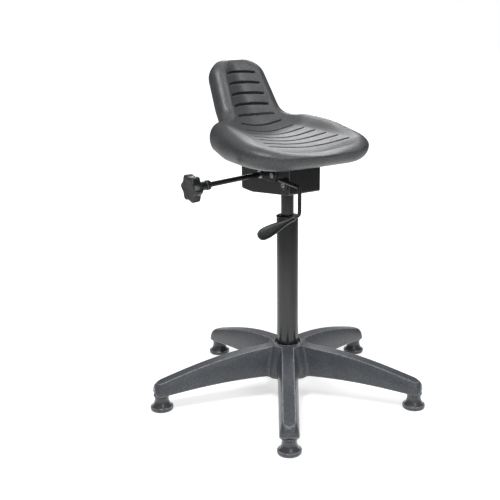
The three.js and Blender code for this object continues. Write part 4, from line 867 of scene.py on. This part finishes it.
def makeColumn():
    c = column
    top, bottom = tubeHigh.z, tubeLow.z
    hub = base["hubTop"]
    tube = softProfile([
        (c["rodHole"], bottom, 0), (c["footRadius"], bottom, 0.001), (c["radius"], hub, 0),
        (c["radius"], top, 0.0007), (c["radius"] - c["wall"], top, 0.0006),
        (c["radius"] - c["wall"], hub, 0), (c["footRadius"] - c["wall"], bottom + c["floor"], 0),
        (c["rodHole"], bottom + c["floor"], 0),
    ], steps=4)
    finishPiece(lathe("column_tube", tube), "base", "column_paint", "outer_column_tube")

    gap = c["clearance"]
    outer = c["radius"] - c["wall"] - gap
    inner = c["cylinderRadius"] + gap
    under = top + gap
    lipRadius, flangeTop = c["radius"] + c["bushLip"], under + c["bushFlange"]
    bush = softProfile([
        (inner, top - c["bushDepth"], 0.0006), (outer, top - c["bushDepth"], 0.0008), (outer, under, 0),
        (lipRadius, under, 0.0003), (lipRadius, under + c["bushLip"], 0.0005),
        (c["radius"] - c["bushFlange"], flangeTop, 0.0012), (inner, flangeTop, 0.0005),
    ], steps=4)
    finishPiece(lathe("column_bush", bush), "base", "black_plastic", "guide_bush")

    shoulder = cylinderHigh.z - c["taper"]
    cylinder = softProfile([
        (c["cylinderInner"], cylinderLow.z, 0), (c["cylinderRadius"], cylinderLow.z, 0.001),
        (c["cylinderRadius"], shoulder, 0), (c["tipRadius"], cylinderHigh.z, 0.0008),
        (c["pinHole"], cylinderHigh.z, 0), (c["pinHole"], cylinderHigh.z - c["cap"], 0),
        (c["cylinderInner"], cylinderHigh.z - c["cap"], 0),
    ], steps=4)
    finishPiece(lathe("gas_cylinder", cylinder), "lift", "column_paint", "pressure_cylinder")

    sleeveLow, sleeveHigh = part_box("hub_sleeve")
    slope = (c["radius"] - c["footRadius"]) / (hub - bottom)
    inside = [c["radius"] - slope * (hub - z) + gap for z in (sleeveLow.z, sleeveHigh.z)]
    sleeve = softProfile([
        (inside[0], sleeveLow.z, 0.0004), (inside[0] + c["sleeveWall"], sleeveLow.z, 0.0004),
        (inside[1] + c["sleeveWall"], sleeveHigh.z, 0.0008), (inside[1], sleeveHigh.z, 0.0006),
    ], steps=3)
    finishPiece(lathe("column_sleeve", sleeve), "base", "black_steel", "hub_sleeve")


makeColumn()
print("column ready")

# Height lever: shaft, wire arm and spoon paddle at the near side
lever = dict(housingHalf=0.041, clearance=0.0003, plate=0.003, wire=0.004, wireStart=-0.037, wireRise=0.011,
             kneeY=-0.107, kneeDrop=0.005, drop=0.057, bend=0.0075, paddleLength=0.108, paddleFall=0.032,
             paddleWidth=0.025, rootWidth=0.011, thickness=0.007, socket=0.034, turn=32,
             shaftRadius=0.005, shaftBore=0.0022, shaftReach=0.0033,
             placeShares=(0, 0.2, 0.42, 0.62, 0.8, 0.92, 0.98, 1),
             widthShares=(0.478, 0.5, 0.717, 0.935, 1, 0.848, 0.522, 0.217),
             thickShares=(1, 1, 0.95, 0.85, 0.75, 0.65, 0.5, 0.3),
             thinShare=0.625, flatPower=0.62, flatShare=0.5, sides=40,
             tipShare=0.1, tipTurnStart=0.08, tipSteps=14, bodySteps=28)


def makeLever():
    p = lever
    wireX = -p["housingHalf"] - 2 * p["clearance"] - p["plate"] - p["wire"]
    wireZ = leverPivot.z + p["wireRise"]
    kneeZ = wireZ - p["kneeDrop"]
    footZ = kneeZ - p["drop"]
    fall = p["paddleFall"] / p["paddleLength"]
    leadIn = 2 * p["bend"]
    rootX = wireX - leadIn
    tail = Vector((rootX - p["socket"], p["kneeY"], footZ - fall * (p["socket"] + leadIn)))
    route = bentRoute([(wireX, p["wireStart"], wireZ), (wireX, p["kneeY"], kneeZ),
                       (wireX, p["kneeY"], footZ), tail], p["bend"])
    finishPiece(loft("lever_arm", wireLoops(route, p["wire"])), "lever", "black_steel", "lever_rod")

    along = Vector((-1, 0, -fall)).normalized()
    root = Vector((rootX, p["kneeY"], footZ - fall * leadIn))
    up = (Vector((0, 0, 1)) - along * along.z).normalized()
    faceSide = Matrix.Rotation(p["turn"] * deg, 3, along) @ up
    faceUp = along.cross(faceSide)
    rootThick = 2 * p["wire"] + p["thickness"] / 2
    tipStart = 1 - p["tipShare"]
    tipTurns = np.linspace(p["tipTurnStart"], 1, p["tipSteps"]) * math.pi / 2
    shares = np.concatenate([np.linspace(0, tipStart, p["bodySteps"]),
                             tipStart + p["tipShare"] * np.sin(tipTurns)])
    loops = []
    angles = turnsOf(p["sides"])
    for share in shares:
        centre = root + along * (share * (p["paddleLength"] - leadIn))
        width = smoothAt(share, p["placeShares"], p["widthShares"]) * p["paddleWidth"]
        width = max(width, p["rootWidth"] * (1 - share * 2)) / 2
        thick = (blendTo(rootThick, p["thickness"], min(1, share / p["thinShare"]))
                 * smoothAt(share, p["placeShares"], p["thickShares"]) / 2)
        power = blendTo(1, p["flatPower"], min(1, share / p["flatShare"]))
        loops.append(np.array([
            centre + faceSide * float(width * math.copysign(abs(math.cos(a)) ** power, math.cos(a)))
            + faceUp * float(thick * math.copysign(abs(math.sin(a)) ** power, math.sin(a)))
            for a in angles]))
    finishPiece(loft("lever_spoon", loops, sharpAngle=60), "lever", "black_plastic", "lever_paddle")

    half = p["housingHalf"] + p["shaftReach"]
    shaft = softProfile([(p["shaftBore"], -half, 0.0003), (p["shaftRadius"], -half, 0.0006),
                         (p["shaftRadius"], half, 0.0006), (p["shaftBore"], half, 0.0003)], steps=4)
    place = Matrix.Translation(leverPivot) @ Matrix.Rotation(math.pi / 2, 4, "Y")
    finishPiece(lathe("lever_axle", shaft, 48, place), "lever", "plain_steel", "lever_shaft")


# A value between listed ones, with a smooth slope
def smoothAt(x, places, values):
    i = min(max(int(np.searchsorted(places, x)) - 1, 0), len(places) - 2)
    slopes = np.gradient(np.array(values), np.array(places))
    width = places[i + 1] - places[i]
    t = (x - places[i]) / width
    return ((2 * t ** 3 - 3 * t ** 2 + 1) * values[i] + (t ** 3 - 2 * t ** 2 + t) * width * slopes[i]
            + (3 * t ** 2 - 2 * t ** 3) * values[i + 1] + (t ** 3 - t ** 2) * width * slopes[i + 1])


makeLever()

# Clamp knob, its collar and the tube over the screw. The face's rows are the share of the radius,
# the height over the back and the share of the lobes' depth. Those of the hub are added to the
# radius and height that they start from.
clamp = dict(droop=3.3, radius=0.0305, lobeDepth=0.0059, lobes=6, rest=36, power=1.4, thickness=0.020,
             edge=0.003, place=0.2065, cone=0.0135, hubRadius=0.0095, hubLength=0.022, collarLength=0.011,
             collarRadius=0.0106, spacer=0.0054, clearance=0.0003, bore=0.0043, boreDepth=0.008,
             lobeSides=24, face=((0.02, 0.0006, 1), (0.6, 0.0004, 0.7), (0.93, 0, 1)), innerShare=0.8,
             coneCurve=((0.0015, 0.0002), (0, 0.0012)),
             coneEnd=((0.0014, 0.0044), (0.0004, 0.0066), (0, 0.0095)),
             hubEdge=((0, -0.0012), (-0.0005, -0.0003), (-0.0012, 0)), collarBevel=(0.0022, 0.0030))


def makeClamp():
    c = clamp
    joint = Vector(joints["knob_turn"]["pos_m"]) - columnPlace
    cos, sin = math.cos(c["droop"] * deg), math.sin(c["droop"] * deg)
    place = Matrix(((sin, 0, cos, joint.x), (0, 1, 0, joint.y), (-cos, 0, sin, joint.z), (0, 0, 0, 1)))
    inner = -c["place"]
    back = inner - c["thickness"]
    hubEnd = inner + c["hubLength"]
    sides = c["lobes"] * c["lobeSides"]
    angles = turnsOf(sides)
    wave = np.abs(np.sin(c["lobes"] * angles / 2)) ** c["power"]
    edge = c["edge"]

    def circle(radius, z):
        turned = angles + c["rest"] * deg
        return np.stack([radius * np.cos(turned), radius * np.sin(turned), np.full(sides, z)], 1)

    def lobed(share, insetBy, z, depthShare=1.0):
        return circle((c["radius"] - insetBy - c["lobeDepth"] * wave * depthShare) * share, z)

    loops = [lobed(share, edge, back + up, depthShare) for share, up, depthShare in c["face"]]
    for turn in (0, 22.5, 45, 67.5, 90):
        up, less = roundOff(edge, turn)
        loops.append(lobed(1, less, back + up))
    for turn in (0, 30, 60, 90):
        less, down = roundOff(edge, turn)
        loops.append(lobed(1, less, inner - down))
    loops.append(lobed(c["innerShare"], edge, inner, c["innerShare"]))
    loops += [circle(c["cone"] + out, inner + z) for out, z in c["coneCurve"]]
    loops += [circle(c["hubRadius"] + out, inner + z) for out, z in c["coneEnd"]]
    loops += [circle(c["hubRadius"] + out, hubEnd + z) for out, z in c["hubEdge"]]
    loops += [circle(c["bore"], hubEnd), circle(c["bore"], hubEnd - c["boreDepth"])]
    knob = loft("clamp_star", loops, place, sharpAngle=50)
    finishPiece(knob, "knob", "black_plastic", "clamp_knob")

    gap = c["clearance"]
    collarEnd = hubEnd + gap + c["collarLength"]
    bevelIn, bevelDown = c["collarBevel"]
    collar = softProfile([
        (c["bore"], hubEnd + gap, 0.0004), (c["collarRadius"], hubEnd + gap, 0.0012),
        (c["collarRadius"], collarEnd - bevelDown, 0.0012),
        (c["collarRadius"] - bevelIn, collarEnd, 0.0008), (c["bore"], collarEnd, 0.0004),
    ], steps=4)
    finishPiece(lathe("clamp_collar", collar, 64, place), "knob", "black_plastic", "knob_collar")

    low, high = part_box("clamp_spacer_tube")
    spacerEnd = (high.x - columnPlace.x + sin * c["spacer"]) / cos
    tube = softProfile([
        (c["bore"], collarEnd + gap, 0.0003), (c["spacer"], collarEnd + gap, 0.0003),
        (c["spacer"], spacerEnd - gap, 0.0003), (c["bore"], spacerEnd - gap, 0.0003),
    ], steps=3)
    finishPiece(lathe("clamp_tube", tube, 48, place), "seat", "black_steel", "clamp_spacer_tube")


makeClamp()
print("lever and knob ready")

# CAD nodes that stay get finer edges and their slot's finish
nearAndFar = [f"{name}_{side}" for name in ("clamp_washer", "tilt_bolt", "tilt_nut")
              for side in ("near", "far")]
keptNodes = {
    "plain_steel": [*[f"glide_stem_{i}" for i in range(1, 6)], *[f"seat_bolt_{i}" for i in range(1, 5)],
                    *nearAndFar, "bearing_washer_lower", "bearing_washer_upper", "thrust_ball_cage",
                    "piston_rod", "retaining_clip", "release_pin", "lever_shaft_clip", "clamp_screw",
                    "clamp_nut", "back_strip"],
    "black_steel": ["mechanism_housing", "taper_socket", "socket_cross_plate", "lever_plate",
                    "lever_tongue", "seat_plate"],
    "black_plastic": ["piston", "tilt_bush_near", "tilt_bush_far"],
    "black_rubber": ["bump_stop", "cylinder_guide_seal"],
    "board_wood": ["seat_board"],
}
edgeRounding = {"mechanism_housing": 0.0012, "seat_plate": 0.0013, "lever_plate": 0.0008,
                "lever_tongue": 0.0006, "seat_board": 0.0008}
weldReach = 0.00001
roundedAbove = 40                 # degrees between two faces


def roundEdges(node, width):
    weld = node.modifiers.new("weld", "WELD")
    weld.merge_threshold = weldReach
    rounding = node.modifiers.new("rounded edges", "BEVEL")
    rounding.width = width
    rounding.segments = 2
    rounding.limit_method = "ANGLE"
    rounding.angle_limit = roundedAbove * deg
    rounding.harden_normals = True


for slotName, names in keptNodes.items():
    for nodeName in names:
        node = frame["nodes"][nodeName]
        node.data.materials.clear()
        node.data.materials.append(finishMaterials[slotName])
        if nodeName in edgeRounding:
            roundEdges(node, edgeRounding[nodeName])
print("kept nodes dressed")

# Floor, light and camera
stage = dict(floorHalf=12.0, floorDrop=0.0005, floorTone=0.72, floorRoughness=0.9, floorLevel=0.1,
             floorGlow=(0.60, 1.0), glowReach=(0.45, 1.6), mirroredFloor=(0.95, 0.10), mirrorReach=(1.2, 2.2),
             worldLight=0.32, horizonBand=(0.40, 0.80), mirrored=(0.12, 0.65),
             sideAim=(0.80, -0.60, 0.0), sideShade=0.30, sideBand=(0.0, 0.9), floorSideBand=(0.1, 0.9))


def softRange(nodes, band, result):
    return mapRange(nodes, band, result, interpolation_type="SMOOTHSTEP")


# Less light from one side, as from a studio wall that stays dark
def sideShade(nodes, links, coords, output, band):
    side = addNode(nodes, "VectorMath", {1: stage["sideAim"]}, operation="DOT_PRODUCT")
    shade = softRange(nodes, band, (1.0, stage["sideShade"]))
    wire(links, (coords, output, side, 0), (side, "Value", shade, "Value"))
    return shade


# The floor is pale to the camera, and dims with distance where the stool mirrors it
def makeFloor():
    half, tone = stage["floorHalf"], stage["floorTone"]
    mesh = bpy.data.meshes.new("studio_floor")
    mesh.from_pydata([(-half, -half, 0), (half, -half, 0), (half, half, 0), (-half, half, 0)], [],
                     [(0, 1, 2, 3)])
    floor = bpy.data.objects.new("studio_floor", mesh)
    floor.location.z = -stage["floorDrop"]
    scene.collection.objects.link(floor)
    material, nodes, links, shader = newMaterial("paleFloor")
    setValues(shader, {"Base Color": (tone, tone, tone, 1), "Roughness": stage["floorRoughness"],
                       "Specular IOR Level": stage["floorLevel"], "Emission Color": (1, 1, 1, 1)})
    coords = addNode(nodes, "TexCoord")
    away = addNode(nodes, "VectorMath", operation="LENGTH")
    glow = softRange(nodes, stage["glowReach"], stage["floorGlow"])
    far = softRange(nodes, stage["mirrorReach"], stage["mirroredFloor"])
    shade = sideShade(nodes, links, coords, "Object", stage["floorSideBand"])
    path = addNode(nodes, "LightPath")
    shown = addNode(nodes, "Math", operation="MULTIPLY")
    dimmed = addNode(nodes, "Math", operation="MULTIPLY")
    mirrored = addNode(nodes, "Math", operation="MULTIPLY_ADD")
    wire(links,
         (coords, "Object", away, 0), (away, "Value", glow, "Value"), (away, "Value", far, "Value"),
         (path, "Is Camera Ray", shown, 0), (glow, "Result", shown, 1),
         (far, "Result", dimmed, 0), (shade, "Result", dimmed, 1),
         (path, "Is Glossy Ray", mirrored, 0), (dimmed, 0, mirrored, 1), (shown, 0, mirrored, 2),
         (mirrored, 0, shader, "Emission Strength"))
    mesh.materials.append(material)


# White to the camera; reflections see it brighter overhead than at the horizon
def makeWorld():
    world = bpy.data.worlds.new("studio")
    scene.world = world
    world.use_nodes = True
    nodes, links = world.node_tree.nodes, world.node_tree.links
    background = nodes["Background"]
    background.inputs["Color"].default_value = (1, 1, 1, 1)
    path = addNode(nodes, "LightPath")
    coords = addNode(nodes, "TexCoord")
    parts = addNode(nodes, "SeparateXYZ")
    shown = addNode(nodes, "Math", operation="MAXIMUM")
    level = mapRange(nodes, (0, 1), (stage["worldLight"], 1.0))
    height = softRange(nodes, stage["horizonBand"], stage["mirrored"])
    glossy = addNode(nodes, "Mix")
    shade = sideShade(nodes, links, coords, "Generated", stage["sideBand"])
    unshaded = addNode(nodes, "Mix", {3: 1.0})
    dimmed = addNode(nodes, "Math", operation="MULTIPLY")
    wire(links,
         (path, "Is Camera Ray", shown, 0), (path, "Is Transmission Ray", shown, 1),
         (shown, 0, level, "Value"), (coords, "Generated", parts, "Vector"), (parts, "Z", height, "Value"),
         (path, "Is Glossy Ray", glossy, 0), (level, "Result", glossy, 2), (height, "Result", glossy, 3),
         (shown, 0, unshaded, 0), (shade, "Result", unshaded, 2),
         (glossy, 0, dimmed, 0), (unshaded, 0, dimmed, 1), (dimmed, 0, background, "Strength"))


# Each lamp: where it stands from the seat, its width and height, and its power
lamps = {
    "frontHighBox": dict(place=(-0.96, -0.65, 2.57), width=0.24, height=0.8, power=36),
    "frontRightBox": dict(place=(0.76, -1.20, 2.35), width=1.3, height=0.8, power=18),
    "frontBox": dict(place=(-0.80, -2.30, 1.10), width=1.0, height=0.7, power=10),
    "rearBox": dict(place=(1.18, 1.62, 1.62), width=1.1, height=0.5, power=12.5),
    "topBox": dict(place=(1.10, 0.50, 2.55), width=0.9, height=0.9, power=3),
}
lampAim = Vector((0, 0, 0.45))


def makeLamps():
    for name, lamp in lamps.items():
        data = bpy.data.lights.new(name, "AREA")
        data.shape = "RECTANGLE"
        data.size, data.size_y, data.energy = lamp["width"], lamp["height"], lamp["power"]
        obj = bpy.data.objects.new(name, data)
        obj.location = lamp["place"]
        obj.rotation_euler = (lampAim - Vector(lamp["place"])).to_track_quat("-Z", "Y").to_euler()
        scene.collection.objects.link(obj)


# Camera at the photograph's angle
shot = dict(place=(-1.1123, -1.4932, 0.85935), down=16.30, turn=-36.94, focal=872.0, width=500,
            middleX=291.2, middleY=260.35, sensor=36.0)


def makeCamera():
    c = shot
    data = bpy.data.cameras.new("photoCamera")
    data.sensor_width = c["sensor"]
    data.lens = c["sensor"] * c["focal"] / c["width"]
    data.shift_x = (c["width"] / 2 - c["middleX"]) / c["width"]
    data.shift_y = (c["middleY"] - c["width"] / 2) / c["width"]
    camera = bpy.data.objects.new("photoCamera", data)
    camera.location = Vector(c["place"]) + columnPlace
    camera.rotation_euler = ((90 - c["down"]) * deg, 0, c["turn"] * deg)
    scene.collection.objects.link(camera)
    scene.camera = camera


makeFloor()
makeWorld()
makeLamps()
makeCamera()
scene.view_settings.view_transform = "Standard"
print("stage ready")
